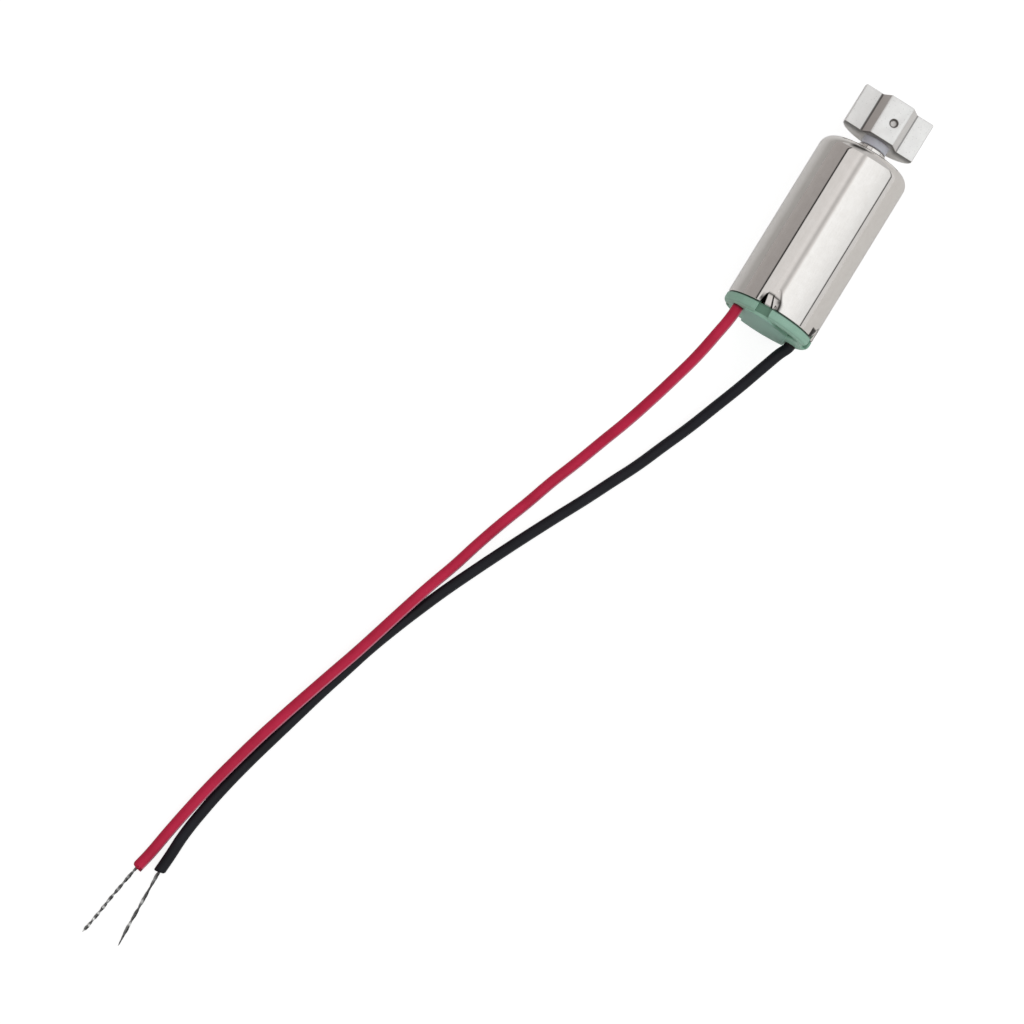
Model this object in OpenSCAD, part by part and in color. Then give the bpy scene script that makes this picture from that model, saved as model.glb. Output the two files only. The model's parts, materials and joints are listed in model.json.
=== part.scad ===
// Cylindrical coreless vibration motor with an eccentric counterweight and two leads.
// It lies on its side: +X runs along the shaft from the leads to the counterweight, +Z is up,
// and z = 0 is the surface that it lies on. A roll turns a feature about the shaft, from the top.

/* [Can] */
// Outer diameter of the can
can_d = 6.0; // [5.9:0.05:6.1]
// Length of the can, from its rear edge to its front face
can_len = 11.6; // [11.4:0.1:12.2]
// Thickness of the can's sheet
can_wall = 0.3; // [0.25:0.05:0.3]
// Outer radius of the can's front shoulder
shoulder_r = 0.8; // [0.6:0.05:0.9]
// Diameter of the neck that holds the bearing sleeve
neck_d = 1.86; // [1.8:0.02:2.2]
// Height of the neck above the can's front face
neck_h = 0.53; // [0.4:0.01:0.6]

/* [Crimps] */
// Number of crimps round the can's rear edge
crimp_count = 4; // [3, 4]
// Roll of the first crimp
crimp_roll = -9; // [-15:1:-5]
// Width of a crimp's window and of the cap's notch below it
crimp_w = 0.93; // [0.8:0.01:1.0]
// Length of a crimp's window
crimp_len = 0.68; // [0.5:0.02:0.8]
// Width of the tongue bent into the window
tongue_w = 0.46; // [0.3:0.02:0.6]

/* [End cap] */
// Thickness of the cap's flange
cap_t = 0.68; // [0.6:0.02:0.8]
// Radius of the flange's rear edge
cap_edge_r = 0.34; // [0.2:0.02:0.36]
// Width of the raised plate on the cap's rear face, between the leads
plate_w = 3.0; // [2.6:0.1:3.0]
// Height of the raised plate
plate_h = 0.12; // [0.05:0.01:0.2]
// Length of the spigot inside the can
spigot_len = 1.0; // [0.8:0.05:1.05]
// Depth of the notches in the flange's rim
notch_depth = 0.35; // [0.2:0.05:0.4]

/* [Leads] */
// Outer diameter of the insulation
lead_d = 0.7; // [0.6:0.05:0.7]
// Diameter of the bare twisted strands
strand_d = 0.22; // [0.16:0.02:0.24]
// Distance of a lead's hole from the shaft's axis
lead_ring_r = 2.3; // [2.2:0.05:2.3]
// Roll of the red lead's hole, with the black one opposite
lead_roll = -57; // [-60:1:-54]

/* [Magnet and bearings] */
// Outer diameter of the magnet
magnet_d = 3.7; // [3.4:0.1:3.8]
// Length of the magnet
magnet_len = 8.5; // [7.5:0.1:8.5]
// Outer diameter of the bearing sleeve
sleeve_d = 1.5; // [1.46:0.02:1.5]
// Wall of the bearing sleeve
sleeve_wall = 0.15; // [0.12:0.01:0.16]
// Length of the front bearing
front_bearing_len = 1.4; // [1.0:0.1:2.0]
// Length of the rear bearing
rear_bearing_len = 1.0; // [0.8:0.1:1.5]

/* [Rotor] */
// Diameter of the shaft
shaft_d = 0.8; // [0.7:0.05:0.8]
// Outer diameter of the coil
coil_d = 4.9; // [4.7:0.05:5.0]
// Thickness of the coil
coil_wall = 0.4; // [0.3:0.05:0.4]
// Length of the coil
coil_len = 8.85; // [8.0:0.05:9.2]
// Diameter of the commutator
commutator_d = 1.6; // [1.5:0.05:1.6]
// Length of the commutator's segments
commutator_len = 0.92; // [0.85:0.01:0.95]
// Diameter of the spacer on the shaft
spacer_d = 1.76; // [1.5:0.02:2.0]
// Length of the spacer
spacer_len = 0.53; // [0.4:0.01:0.8]

/* [Counterweight] */
// Radius of the counterweight's half disc
weight_r = 2.45; // [2.2:0.05:2.6]
// Length of the counterweight along the shaft
weight_len = 2.7; // [2.0:0.1:4.0]
// Height of the flat wings above the shaft's axis
wing_h = 0.4; // [0.2:0.05:0.5]
// Height of the boss above the shaft's axis
boss_h = 1.5; // [1.2:0.05:1.7]
// Width of the boss at its top
boss_top_w = 1.6; // [1.2:0.05:1.8]
// Width of the boss where it meets the wings
boss_base_w = 2.5; // [2.0:0.05:2.8]
// Diameter of the punch mark that locks the counterweight on the shaft
punch_d = 0.6; // [0.4:0.05:0.8]
// Roll at which the free rotor has come to rest
weight_roll = 6; // [0:1:12]

/* [Hidden] */
$fn = 96;

// Fits and gaps
bond_gap = 0.005;   // between a piece and what it is pressed or glued into
run_gap = 0.015;    // radial, between the shaft and its bearings
face_gap = 0.01;    // between faces that are soldered together
end_play = 0.04;    // axial, on each side of the bearings
cut = 0.1;          // how far a cut runs past the face that it opens

// Radii
can_r = can_d / 2;
can_inner_r = can_r - can_wall;
axis_z = can_r;
shaft_r = shaft_d / 2;
sleeve_r = sleeve_d / 2;
bearing_r = sleeve_r - sleeve_wall - bond_gap;
magnet_bore_r = sleeve_r + bond_gap;
coil_r = coil_d / 2;
coil_inner_r = coil_r - coil_wall;
commutator_r = commutator_d / 2;
segment_t = 0.2;
hub_core_r = commutator_r - segment_t - bond_gap;
hub_disc_r = coil_inner_r - bond_gap;
spigot_r = can_inner_r - 0.01;
spigot_wall = 0.34;
spigot_inner_r = spigot_r - spigot_wall;
lead_r = lead_d / 2;
lead_hole_r = lead_r + 0.03;
solder_r = lead_r - 0.01;

// Stations along X
spacer_gap = end_play;
motor_len = plate_h + cap_t + can_len + neck_h + spacer_gap + spacer_len + weight_len;
rear_x = -motor_len / 2;
can_x = rear_x + plate_h + cap_t;
front_x = can_x + can_len;
neck_x = front_x + neck_h;
spacer_x = neck_x + spacer_gap;
weight_x = spacer_x + spacer_len;
commutator_x = can_x + 0.35;
riser_t = 0.08;
disc_x = commutator_x + commutator_len + riser_t;
disc_t = 0.6;
washer_x = disc_x + disc_t + 0.02;
washer_t = 0.19;
sleeve_x = washer_x + washer_t + end_play;
magnet_x = sleeve_x + 0.2;
shaft_x = commutator_x - 0.05;
shaft_tip_setback = 0.05;

// Cap
notch_chamfer = 0.12;
plate_cut_r = 1.98;
plate_cut_roll = 45;
recess_r = 2.5;
recess_t = 0.15;
recess_from = 8;
recess_to = 64;

// Crimps
tongue_t = 0.26;
tongue_drop = 0.36;

// Commutator and coil taps
segment_count = 3;
segment_slot = 0.12;
riser_w = 0.5;
riser_reach = 1.85;
tap_ring_r = 1.6;
tap_r = 0.22;
tap_t = 0.15;

// Brushes and terminals
terminal_t = 0.12;
terminal_w = 0.8;
terminal_reach = 2.6;
terminal_seat = 1.0;
upright_w = 0.6;
upright_h = 0.94;
brush_t = 0.08;
brush_w = 0.55;
brush_tail = 1.5;
brush_tip = 0.7;
brush_start = 0.4;
brush_gap = 0.01;
brush_y = commutator_r + brush_gap;
spigot_slot_w = 0.9;

// Counterweight punch mark
punch_depth = 0.28;
punch_side = 0.17;
punch_back = 0.12;
punch_floor_r = 0.18;

// Leads
lead_inner_x = can_x - 0.26;
lead_exit_y = lead_ring_r * sin(-lead_roll);
lead_exit_rise = lead_ring_r * cos(lead_roll);
red_exit = [lead_exit_y, axis_z + lead_exit_rise];
black_exit = [-lead_exit_y, axis_z - lead_exit_rise];
tube_sides = 8;

// Route of the red lead's centre line, from just outside the cap to the end of its insulation.
// It falls to the surface, and further on it leans up over the black lead.
red_route = [
    [-8.9, 1.98, 4.25], [-10.0, 2.15, 4.2], [-11.9, 2.5, 3.95], [-13.75, 3.0, 3.4],
    [-15.55, 3.55, 2.7], [-17.3, 4.15, 1.9], [-19.1, 4.85, 1.1], [-20.85, 5.5, 0.55],
    [-22.7, 6.2, 0.35], [-24.55, 6.8, 0.35], [-26.4, 7.45, 0.35], [-28.3, 8.05, 0.4],
    [-30.25, 8.6, 0.5], [-32.15, 9.2, 0.75], [-34.05, 9.75, 0.95], [-36.0, 10.3, 1.0],
    [-37.9, 10.85, 1.0], [-39.8, 11.45, 1.0], [-41.7, 12.05, 0.95], [-43.65, 12.65, 0.9],
    [-45.55, 13.2, 0.9], [-47.5, 13.7, 0.85], [-49.4, 14.15, 0.8], [-51.35, 14.55, 0.65],
    [-53.3, 14.9, 0.45], [-54.9, 15.15, 0.35], [-56.1, 15.4, 0.35]
];

// Route of the black lead's centre line
black_route = [
    [-8.8, -1.64, 1.75], [-9.85, -1.28, 1.65], [-11.7, -0.65, 1.3], [-13.55, 0.05, 0.85],
    [-15.4, 0.75, 0.5], [-17.2, 1.5, 0.35], [-19.05, 2.25, 0.35], [-20.85, 3.1, 0.35],
    [-22.65, 3.95, 0.35], [-24.45, 4.85, 0.35], [-26.3, 5.75, 0.35], [-28.1, 6.6, 0.35],
    [-29.95, 7.45, 0.35], [-31.75, 8.25, 0.35], [-33.6, 9.0, 0.35], [-35.45, 9.7, 0.35],
    [-37.35, 10.35, 0.35], [-39.25, 10.9, 0.35], [-41.15, 11.45, 0.35], [-43.05, 11.95, 0.35],
    [-44.95, 12.45, 0.35], [-46.9, 12.95, 0.35], [-48.9, 13.4, 0.35], [-50.85, 13.75, 0.35],
    [-52.85, 14.0, 0.35], [-54.5, 14.05, 0.35], [-55.6, 14.1, 0.35]
];

// Routes of the bare strands, from the end of the insulation to the tip
red_strand_route = [
    [-56.12, 15.4, 0.35], [-57.3, 15.6, 0.28], [-58.6, 15.8, 0.2], [-59.8, 15.95, 0.14],
    [-61.1, 16.15, 0.12]
];
black_strand_route = [
    [-55.62, 14.1, 0.35], [-56.9, 14.05, 0.27], [-58.2, 14.0, 0.2], [-59.5, 13.95, 0.14],
    [-60.7, 13.85, 0.12]
];

// ---- helpers ----

// Puts a shape drawn across the shaft at station x: its x and y become +Y and +Z, its z becomes +X
module along_x(x, roll = 0) {
    translate([x, 0, axis_z]) rotate([roll, 0, 0]) rotate([90, 0, 90]) children();
}

// Turns an outline of axial and radial points into a strip of width w across the shaft
module radial_strip(w) {
    rotate([0, -90, 0]) linear_extrude(w, center = true) children();
}

// Half section of a round bar whose far end has a rounded corner
module rounded_bar(radius, length, corner) {
    square([radius, length - corner]);
    square([radius - corner, length]);
    translate([radius - corner, length - corner]) circle(corner);
}

// Plain tube
module tube(outer_r, inner_r, length) {
    difference() {
        cylinder(r = outer_r, h = length);
        translate([0, 0, -cut]) cylinder(r = inner_r, h = length + 2 * cut);
    }
}

// Runs its children once at each crimp
module at_crimps(x) {
    for (k = [0 : crimp_count - 1]) along_x(x, crimp_roll + 360 * k / crimp_count) children();
}

function unit(v) = v / norm(v);
function tangent(p, i) = unit(p[min(i + 1, len(p) - 1)] - p[max(i - 1, 0)]);
function side_of(t) = unit(cross(t, [0, 0, 1]));
function ring(p, i, r) =
    let (t = tangent(p, i), s = side_of(t), u = cross(s, t))
    [for (k = [0 : tube_sides - 1]) p[i] + r * (cos(360 * k / tube_sides) * u + sin(360 * k / tube_sides) * s)];
function ring_walls(i) =
    [for (k = [0 : tube_sides - 1])
        let (n = (k + 1) % tube_sides, a = i * tube_sides)
        each [[a + k, a + n, a + tube_sides + n], [a + k, a + tube_sides + n, a + tube_sides + k]]];

// Round tube swept along the points p
module swept_tube(p, r) {
    last = (len(p) - 1) * tube_sides;
    points = [for (i = [0 : len(p) - 1]) each ring(p, i, r)];
    walls = [for (i = [0 : len(p) - 2]) each ring_walls(i)];
    start_cap = [for (k = [tube_sides - 1 : -1 : 0]) k];
    end_cap_face = [for (k = [0 : tube_sides - 1]) last + k];
    polyhedron(points, concat(walls, [start_cap], [end_cap_face]));
}

// ---- fixed pieces ----

// Drawn can with a rounded front shoulder, a neck, and a crimped rear edge
module can() {
    color("gainsboro") union() {
        difference() {
            along_x(can_x) rotate_extrude() difference() {
                union() {
                    rounded_bar(can_r, can_len, shoulder_r);
                    rounded_bar(neck_d / 2, can_len + neck_h, 0.08);
                }
                translate([0, -cut]) rounded_bar(can_inner_r, can_len - can_wall + cut, shoulder_r - can_wall);
                square([sleeve_r + bond_gap, can_len + neck_h + cut]);
            }
            at_crimps(can_x - cut) translate([-crimp_w / 2, can_inner_r - cut, 0])
                cube([crimp_w, can_wall + 2 * cut, crimp_len + cut]);
        }
        at_crimps(can_x) radial_strip(tongue_w) polygon([
            [crimp_len + cut, can_inner_r + 0.02], [crimp_len + cut, can_r - 0.02],
            [crimp_len, can_r - 0.02], [0.02, can_r - tongue_drop],
            [0.02, can_r - tongue_drop - tongue_t], [crimp_len - 0.05, can_inner_r + 0.02]
        ]);
    }
}

// Raised plate: an upright bar between the leads, with one corner cut off
module plate_outline() {
    intersection() {
        circle(can_r - cap_edge_r);
        square([plate_w, can_d], center = true);
        rotate(plate_cut_roll) translate([-can_r, -can_d]) square([can_d, can_d + plate_cut_r]);
    }
}

// Recess between the plate's cut corner and the flange's rim
module recess_outline() {
    difference() {
        intersection() {
            circle(recess_r);
            polygon([[0, 0], for (a = [recess_from, (recess_from + recess_to) / 2, recess_to]) can_d * [-sin(a), cos(a)]]);
        }
        plate_outline();
    }
}

// Moulded cap: flange, raised plate, recess, spigot, crimp notches and lead holes
module end_cap() {
    color("darkseagreen") difference() {
        union() {
            along_x(can_x) mirror([0, 0, 1]) rotate_extrude() rounded_bar(can_r, cap_t, cap_edge_r);
            along_x(rear_x) linear_extrude(plate_h + cut) plate_outline();
            along_x(can_x - cut) tube(spigot_r, spigot_inner_r, spigot_len + cut);
        }
        along_x(rear_x - cut) linear_extrude(plate_h + recess_t + cut) recess_outline();
        at_crimps(can_x) radial_strip(crimp_w) polygon([
            [0, can_r + cut], [0, can_r - notch_depth], [notch_chamfer - cap_t, can_r - notch_depth],
            [-cap_t - cut, can_r - notch_depth - notch_chamfer - cut], [-cap_t - cut, can_r + cut]
        ]);
        at_crimps(can_x) translate([-crimp_w / 2, spigot_inner_r - cut, 0])
            cube([crimp_w, can_r, spigot_len + cut]);
        for (turn = [0, 180]) {
            along_x(rear_x - cut, lead_roll + turn) translate([0, lead_ring_r, 0])
                cylinder(r = lead_hole_r, h = can_x - rear_x + 2 * cut);
            along_x(can_x, lead_roll + turn) translate([-spigot_slot_w / 2, spigot_inner_r - cut, 0])
                cube([spigot_slot_w, can_r, spigot_len + cut]);
        }
    }
}

// Sleeve pressed in the can's neck, which holds both bearings and the magnet
module bearing_sleeve() {
    color("silver") along_x(sleeve_x) tube(sleeve_r, sleeve_r - sleeve_wall, neck_x - sleeve_x);
}

module bearing(x, length) {
    along_x(x) tube(bearing_r, shaft_r + run_gap, length);
}

module front_bearing() {
    color("goldenrod") bearing(neck_x - front_bearing_len, front_bearing_len);
}

module rear_bearing() {
    color("goldenrod") bearing(sleeve_x, rear_bearing_len);
}

// Hollow magnet glued on the bearing sleeve
module magnet() {
    color("dimgray") along_x(magnet_x) tube(magnet_d / 2, magnet_bore_r, magnet_len);
}

// Bent plate on the cap's floor, under a lead's hole, whose upright holds the brush
module terminal(roll) {
    along_x(can_x + face_gap, roll) union() {
        translate([-terminal_w / 2, terminal_seat, 0])
            cube([terminal_w, terminal_reach - terminal_seat, terminal_t]);
        translate([-brush_tail, brush_y + brush_t, 0])
            cube([brush_tail, terminal_w, terminal_t]);
        translate([-brush_tail, brush_y + brush_t, 0])
            cube([upright_w, terminal_t, upright_h]);
    }
}

module red_terminal() {
    color("gold") terminal(lead_roll);
}

module black_terminal() {
    color("gold") terminal(lead_roll + 180);
}

// Leaf brush that lies along the commutator
module brush(roll) {
    along_x(can_x, roll) translate([-brush_tail, brush_y, brush_start])
        cube([brush_tail + brush_tip, brush_t, brush_w]);
}

module red_brush() {
    color("orange") brush(lead_roll);
}

module black_brush() {
    color("orange") brush(lead_roll + 180);
}

// Solder that fills a lead's hole between the lead and its terminal
module solder_joint(roll) {
    along_x(lead_inner_x + face_gap, roll) translate([0, lead_ring_r, 0])
        cylinder(r = solder_r, h = can_x - lead_inner_x - face_gap);
}

module red_solder_joint() {
    color("lightgray") solder_joint(lead_roll);
}

module black_solder_joint() {
    color("lightgray") solder_joint(lead_roll + 180);
}

// ---- turning pieces ----

module shaft() {
    color("silver") along_x(shaft_x)
        cylinder(r = shaft_r, h = weight_x + weight_len - shaft_tip_setback - shaft_x);
}

// Washer between the commutator hub and the rear bearing
module rear_thrust_washer() {
    color("white") along_x(washer_x) tube(bearing_r, shaft_r + bond_gap, washer_t);
}

// Moulded hub that joins the shaft, the commutator and the coil
module commutator_hub() {
    color("saddlebrown") difference() {
        union() {
            along_x(commutator_x) cylinder(r = hub_core_r, h = disc_x - commutator_x + cut);
            along_x(disc_x) cylinder(r = hub_disc_r, h = disc_t);
        }
        along_x(commutator_x - cut) cylinder(r = shaft_r + bond_gap, h = disc_x + disc_t - commutator_x + 2 * cut);
    }
}

// Copper segments round the hub's core, each with a riser on the hub's rear face
module commutator_segments() {
    color("peru") difference() {
        union() {
            along_x(commutator_x) cylinder(r = commutator_r, h = disc_x - commutator_x - face_gap);
            for (k = [0 : segment_count - 1])
                along_x(disc_x - riser_t, 360 * k / segment_count)
                    translate([-riser_w / 2, commutator_r - segment_t, 0])
                        cube([riser_w, riser_reach - commutator_r + segment_t, riser_t - face_gap]);
        }
        along_x(commutator_x - cut) cylinder(r = hub_core_r + bond_gap, h = disc_x - commutator_x + cut);
        for (k = [0 : segment_count - 1])
            along_x(commutator_x - cut, 360 * (k + 0.5) / segment_count)
                translate([-segment_slot / 2, 0, 0])
                    cube([segment_slot, can_r, commutator_len + riser_t + 2 * cut]);
    }
}

// Basket coil that stands on the hub's rim
module coil_winding() {
    color("sienna") along_x(disc_x) tube(coil_r, coil_inner_r, coil_len);
}

// Solder dots that join the coil's taps to the risers
module coil_tap_joints() {
    color("lightgray") for (k = [0 : segment_count - 1])
        along_x(disc_x - riser_t - tap_t, 360 * k / segment_count) translate([0, tap_ring_r, 0])
            cylinder(r = tap_r, h = tap_t);
}

// Spacer pressed on the shaft between the neck and the counterweight
module spacer() {
    color("lightsteelblue") along_x(spacer_x) tube(spacer_d / 2, shaft_r + bond_gap, spacer_len - face_gap);
}

// Sintered half disc with a tapered boss round the shaft
module counterweight() {
    color("lightgray") difference() {
        along_x(weight_x, weight_roll) linear_extrude(weight_len) difference() {
            union() {
                intersection() {
                    circle(weight_r);
                    translate([-weight_r, -weight_r]) square([2 * weight_r, weight_r + wing_h]);
                }
                polygon([
                    [-boss_base_w / 2, wing_h - cut], [boss_base_w / 2, wing_h - cut],
                    [boss_base_w / 2, wing_h], [boss_top_w / 2, boss_h],
                    [-boss_top_w / 2, boss_h], [-boss_base_w / 2, wing_h]
                ]);
            }
            circle(shaft_r + bond_gap);
        }
        along_x(weight_x + weight_len / 2 - punch_back, weight_roll)
            translate([-punch_side, boss_h - punch_depth, 0]) rotate([-90, 0, 0])
                cylinder(r1 = punch_floor_r, r2 = punch_d / 2, h = punch_depth + 0.01);
    }
}

// ---- leads ----

module red_lead() {
    color("crimson") swept_tube(concat(
        [[lead_inner_x, red_exit[0], red_exit[1]], [rear_x, red_exit[0], red_exit[1]]], red_route), lead_r);
}

module black_lead() {
    color("black") swept_tube(concat(
        [[lead_inner_x, black_exit[0], black_exit[1]], [rear_x, black_exit[0], black_exit[1]]], black_route), lead_r);
}

module red_lead_strands() {
    color("silver") swept_tube(red_strand_route, strand_d / 2);
}

module black_lead_strands() {
    color("silver") swept_tube(black_strand_route, strand_d / 2);
}

can();
end_cap();
bearing_sleeve();
front_bearing();
rear_bearing();
magnet();
shaft();
rear_thrust_washer();
commutator_hub();
commutator_segments();
coil_winding();
coil_tap_joints();
spacer();
counterweight();
red_terminal();
black_terminal();
red_brush();
black_brush();
red_solder_joint();
black_solder_joint();
red_lead();
black_lead();
red_lead_strands();
black_lead_strands();
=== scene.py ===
"""Looks of a small cylindrical vibration motor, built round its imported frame.

Sizes in the classes are in millimetres in the row frame: +X runs along the shaft from the leads to the
counterweight, +Z is up, and z = 0 is the surface that the motor lies on. A finished mesh is in metres. A roll
turns a feature about the shaft, in degrees from the top towards -Y.
"""

import json
import logging
import math
from dataclasses import dataclass, field
from enum import Enum
from typing import Any, Callable, Iterable, NamedTuple, Sequence

import bmesh
import bpy
from mathutils import Matrix, Vector
from mathutils.kdtree import KDTree

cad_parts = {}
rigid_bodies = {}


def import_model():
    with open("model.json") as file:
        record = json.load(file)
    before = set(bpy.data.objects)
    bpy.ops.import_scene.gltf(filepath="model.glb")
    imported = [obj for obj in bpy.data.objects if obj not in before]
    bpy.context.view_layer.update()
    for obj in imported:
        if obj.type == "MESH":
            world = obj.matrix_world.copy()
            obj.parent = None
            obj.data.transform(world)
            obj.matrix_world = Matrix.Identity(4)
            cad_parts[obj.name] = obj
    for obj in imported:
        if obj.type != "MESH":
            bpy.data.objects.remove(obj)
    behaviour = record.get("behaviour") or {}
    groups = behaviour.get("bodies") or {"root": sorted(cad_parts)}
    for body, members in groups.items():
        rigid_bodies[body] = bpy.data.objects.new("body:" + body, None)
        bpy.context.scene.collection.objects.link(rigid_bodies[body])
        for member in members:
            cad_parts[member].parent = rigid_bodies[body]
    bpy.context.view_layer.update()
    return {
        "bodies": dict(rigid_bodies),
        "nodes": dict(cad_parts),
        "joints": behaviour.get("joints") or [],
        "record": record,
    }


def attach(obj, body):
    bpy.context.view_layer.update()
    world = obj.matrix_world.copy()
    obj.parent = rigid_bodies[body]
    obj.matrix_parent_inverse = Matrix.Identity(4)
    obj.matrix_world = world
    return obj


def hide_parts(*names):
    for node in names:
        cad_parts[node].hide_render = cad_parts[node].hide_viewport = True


LOG = logging.getLogger("vibration_motor")
MM = 0.001
AXIS_Z = 3.0
TURN = math.tau

CAN_REAR_X = -7.3
CAP_REAR_X = -7.98
WEIGHT_REAR_X = 5.4
WEIGHT_LEAN = 6.0
CRIMP_ROLLS = (-9.0, 81.0, 171.0, 261.0)
SAME_PLACE = 1e-3
WELD = 1e-5
UP = Vector((0, 0, 1))
QUARTER_TURN = Matrix.Rotation(TURN / 4, 3, "Y")

Colour = tuple[float, float, float]
Point = tuple[float, float, float]


class Body(Enum):
    """The two bodies of the motor."""

    FIXED = "motor_body"
    ROTOR = "rotor"


class Grain(Enum):
    """How a surface's marks run: how much each axis stretches them, as shares of the finest."""

    EVEN = (1.0, 1.0, 1.0)
    DRAWN = (0.03, 1.0, 1.0)
    TURNED = (1.0, 0.03, 0.03)


# ---------------------------------------------------------------- shader board


class Signal:
    """The output of a shader node, which Python's operators work on."""

    def __init__(self, board: "Board", socket: bpy.types.NodeSocket) -> None:
        """Keeps the board and the socket."""
        self.board = board
        self.socket = socket
        self.has_unit = socket.node.bl_idname != "ShaderNodeTexVoronoi"

    def _maths(self, operation: str, first: Any, second: Any) -> "Signal":
        """Adds one Math node and returns its output."""
        return self.board.add("ShaderNodeMath", {"operation": operation}, {0: first, 1: second})

    def __add__(self, other: Any) -> "Signal":
        """Sum."""
        return self._maths("ADD", self, other)

    __radd__ = __add__

    def __sub__(self, other: Any) -> "Signal":
        """Difference."""
        return self._maths("SUBTRACT", self, other)

    def __rsub__(self, other: Any) -> "Signal":
        """Difference, the other way round."""
        return self._maths("SUBTRACT", other, self)

    def __mul__(self, other: Any) -> "Signal":
        """Product."""
        return self._maths("MULTIPLY", self, other)

    __rmul__ = __mul__

    def __truediv__(self, other: Any) -> "Signal":
        """Quotient."""
        return self._maths("DIVIDE", self, other)

    def __pow__(self, other: Any) -> "Signal":
        """Power."""
        return self._maths("POWER", self, other)

    def angle_from(self, other: "Signal") -> "Signal":
        """Angle whose tangent is this signal over the other."""
        return self._maths("ARCTAN2", self, other)

    def wave(self) -> "Signal":
        """Sine, moved to run from 0 to 1."""
        return self.board.add("ShaderNodeMath", {"operation": "SINE"}, {0: self}) * 0.5 + 0.5


class Board:
    """The node tree of one material."""

    OBJECT_PLACE = 3
    MIXED_COLOUR = 2
    PLAIN_NUMBER = 2

    def __init__(self, name: str) -> None:
        """Starts an empty material.

        Args:
            name: The material's name.
        """
        self.material = bpy.data.materials.new(name)
        self.material.use_nodes = True
        self.tree = self.material.node_tree
        self.tree.nodes.clear()
        self.output = self.tree.nodes.new("ShaderNodeOutputMaterial")

    def add(self, kind: str, settings: dict[str, Any], sockets: dict[Any, Any], output: int = 0) -> Signal:
        """Adds a node.

        Args:
            kind: The node's type.
            settings: Its settings, such as an operation; "stops" are a ramp's positions and colours.
            sockets: Values or signals for its input sockets, by name or number.
            output: Which of its outputs to return.

        Returns:
            The output as a signal.
        """
        node = self.tree.nodes.new(kind)
        for key, value in settings.items():
            if key == "stops":
                self._set_stops(node.color_ramp, value)
            else:
                setattr(node, key, value)
        for key, value in sockets.items():
            if isinstance(value, Signal):
                self.tree.links.new(value.socket, node.inputs[key])
            else:
                node.inputs[key].default_value = value
        return Signal(self, node.outputs[output])

    @staticmethod
    def _set_stops(ramp: bpy.types.ColorRamp, stops: Sequence[tuple[float, Any]]) -> None:
        """Sets a ramp's stops from positions and grey levels or colours."""
        while len(ramp.elements) < len(stops):
            ramp.elements.new(0.5)
        for element, (position, value) in zip(ramp.elements, stops):
            colour = (value,) * 3 if isinstance(value, (int, float)) else value
            element.position = position
            element.color = (*colour, 1.0)

    def place(self, grain: Grain = Grain.EVEN) -> Signal:
        """Object coordinates, stretched as a grain runs."""
        raw = self.add("ShaderNodeTexCoord", {}, {}, output=self.OBJECT_PLACE)
        return self.add("ShaderNodeMapping", {}, {"Vector": raw, "Scale": grain.value})

    def axes(self, lean: float = 0.0) -> tuple[Signal, Signal, Signal]:
        """Object coordinates X, Y and Z, with Z from the shaft's axis, turned back by a lean in degrees."""
        raw = self.add("ShaderNodeTexCoord", {}, {}, output=self.OBJECT_PLACE)
        moved = self.add("ShaderNodeMapping", {}, {"Vector": raw, "Location": (0, 0, -AXIS_Z * MM)})
        if lean:
            back = (-math.radians(lean), 0, 0)
            moved = self.add("ShaderNodeMapping", {}, {"Vector": moved, "Rotation": back})
        split = self.add("ShaderNodeSeparateXYZ", {}, {"Vector": moved})
        return tuple(Signal(self, split.socket.node.outputs[k]) for k in range(3))

    def painted(self, name: str) -> Signal:
        """A number that the mesh carries at its vertices."""
        return self.add("ShaderNodeAttribute", {"attribute_name": name}, {}, output=self.PLAIN_NUMBER)

    def speckle(self, place: Signal, size_mm: float, detail: float = 2.0, rough: float = 0.5) -> Signal:
        """Soft noise, from 0 to 1, whose marks are about size_mm across."""
        sockets = {"Vector": place, "Scale": 1 / (size_mm * MM), "Detail": detail, "Roughness": rough}
        return self.add("ShaderNodeTexNoise", {}, sockets)

    def pits(self, place: Signal, size_mm: float) -> Signal:
        """Distance from the nearest of many scattered points, in shares of size_mm."""
        return self.add("ShaderNodeTexVoronoi", {}, {"Vector": place, "Scale": 1 / (size_mm * MM)})

    def blend(self, factor: Any, first: Any, second: Any) -> Signal:
        """Mixes two colours."""
        first, second = ((*c, 1.0) if isinstance(c, tuple) else c for c in (first, second))
        sockets = {0: factor, 6: first, 7: second}
        return self.add("ShaderNodeMix", {"data_type": "RGBA"}, sockets, output=self.MIXED_COLOUR)

    def _mapped(self, signal: Signal, start: float, end: float, low: float, high: float) -> Signal:
        """Maps start to end onto low to high, and holds it there."""
        sockets = {"Value": signal, "From Min": start, "From Max": end, "To Min": low, "To Max": high}
        return self.add("ShaderNodeMapRange", {"clamp": True}, sockets)

    def spread(self, signal: Signal, low: float, high: float) -> Signal:
        """Maps the middle of a noise's range onto low to high."""
        return self._mapped(signal, 0.3, 0.7, low, high)

    def step(self, signal: Signal, low_mm: float, high_mm: float) -> Signal:
        """Rises from 0 at one length to 1 at the other; pits have no unit and are taken as they are."""
        unit = MM if signal.has_unit else 1.0
        return self._mapped(signal, low_mm * unit, high_mm * unit, 0.0, 1.0)

    def ramp(self, signal: Signal, stops: Sequence[tuple[float, Any]]) -> Signal:
        """Looks a signal up among positions and grey levels or colours."""
        return self.add("ShaderNodeValToRGB", {"stops": stops}, {0: signal})

    def bump(self, height: Signal, depth_mm: float) -> Signal:
        """Turns a height into a normal."""
        return self.add("ShaderNodeBump", {}, {"Height": height, "Distance": depth_mm * MM, "Strength": 1.0})

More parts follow.
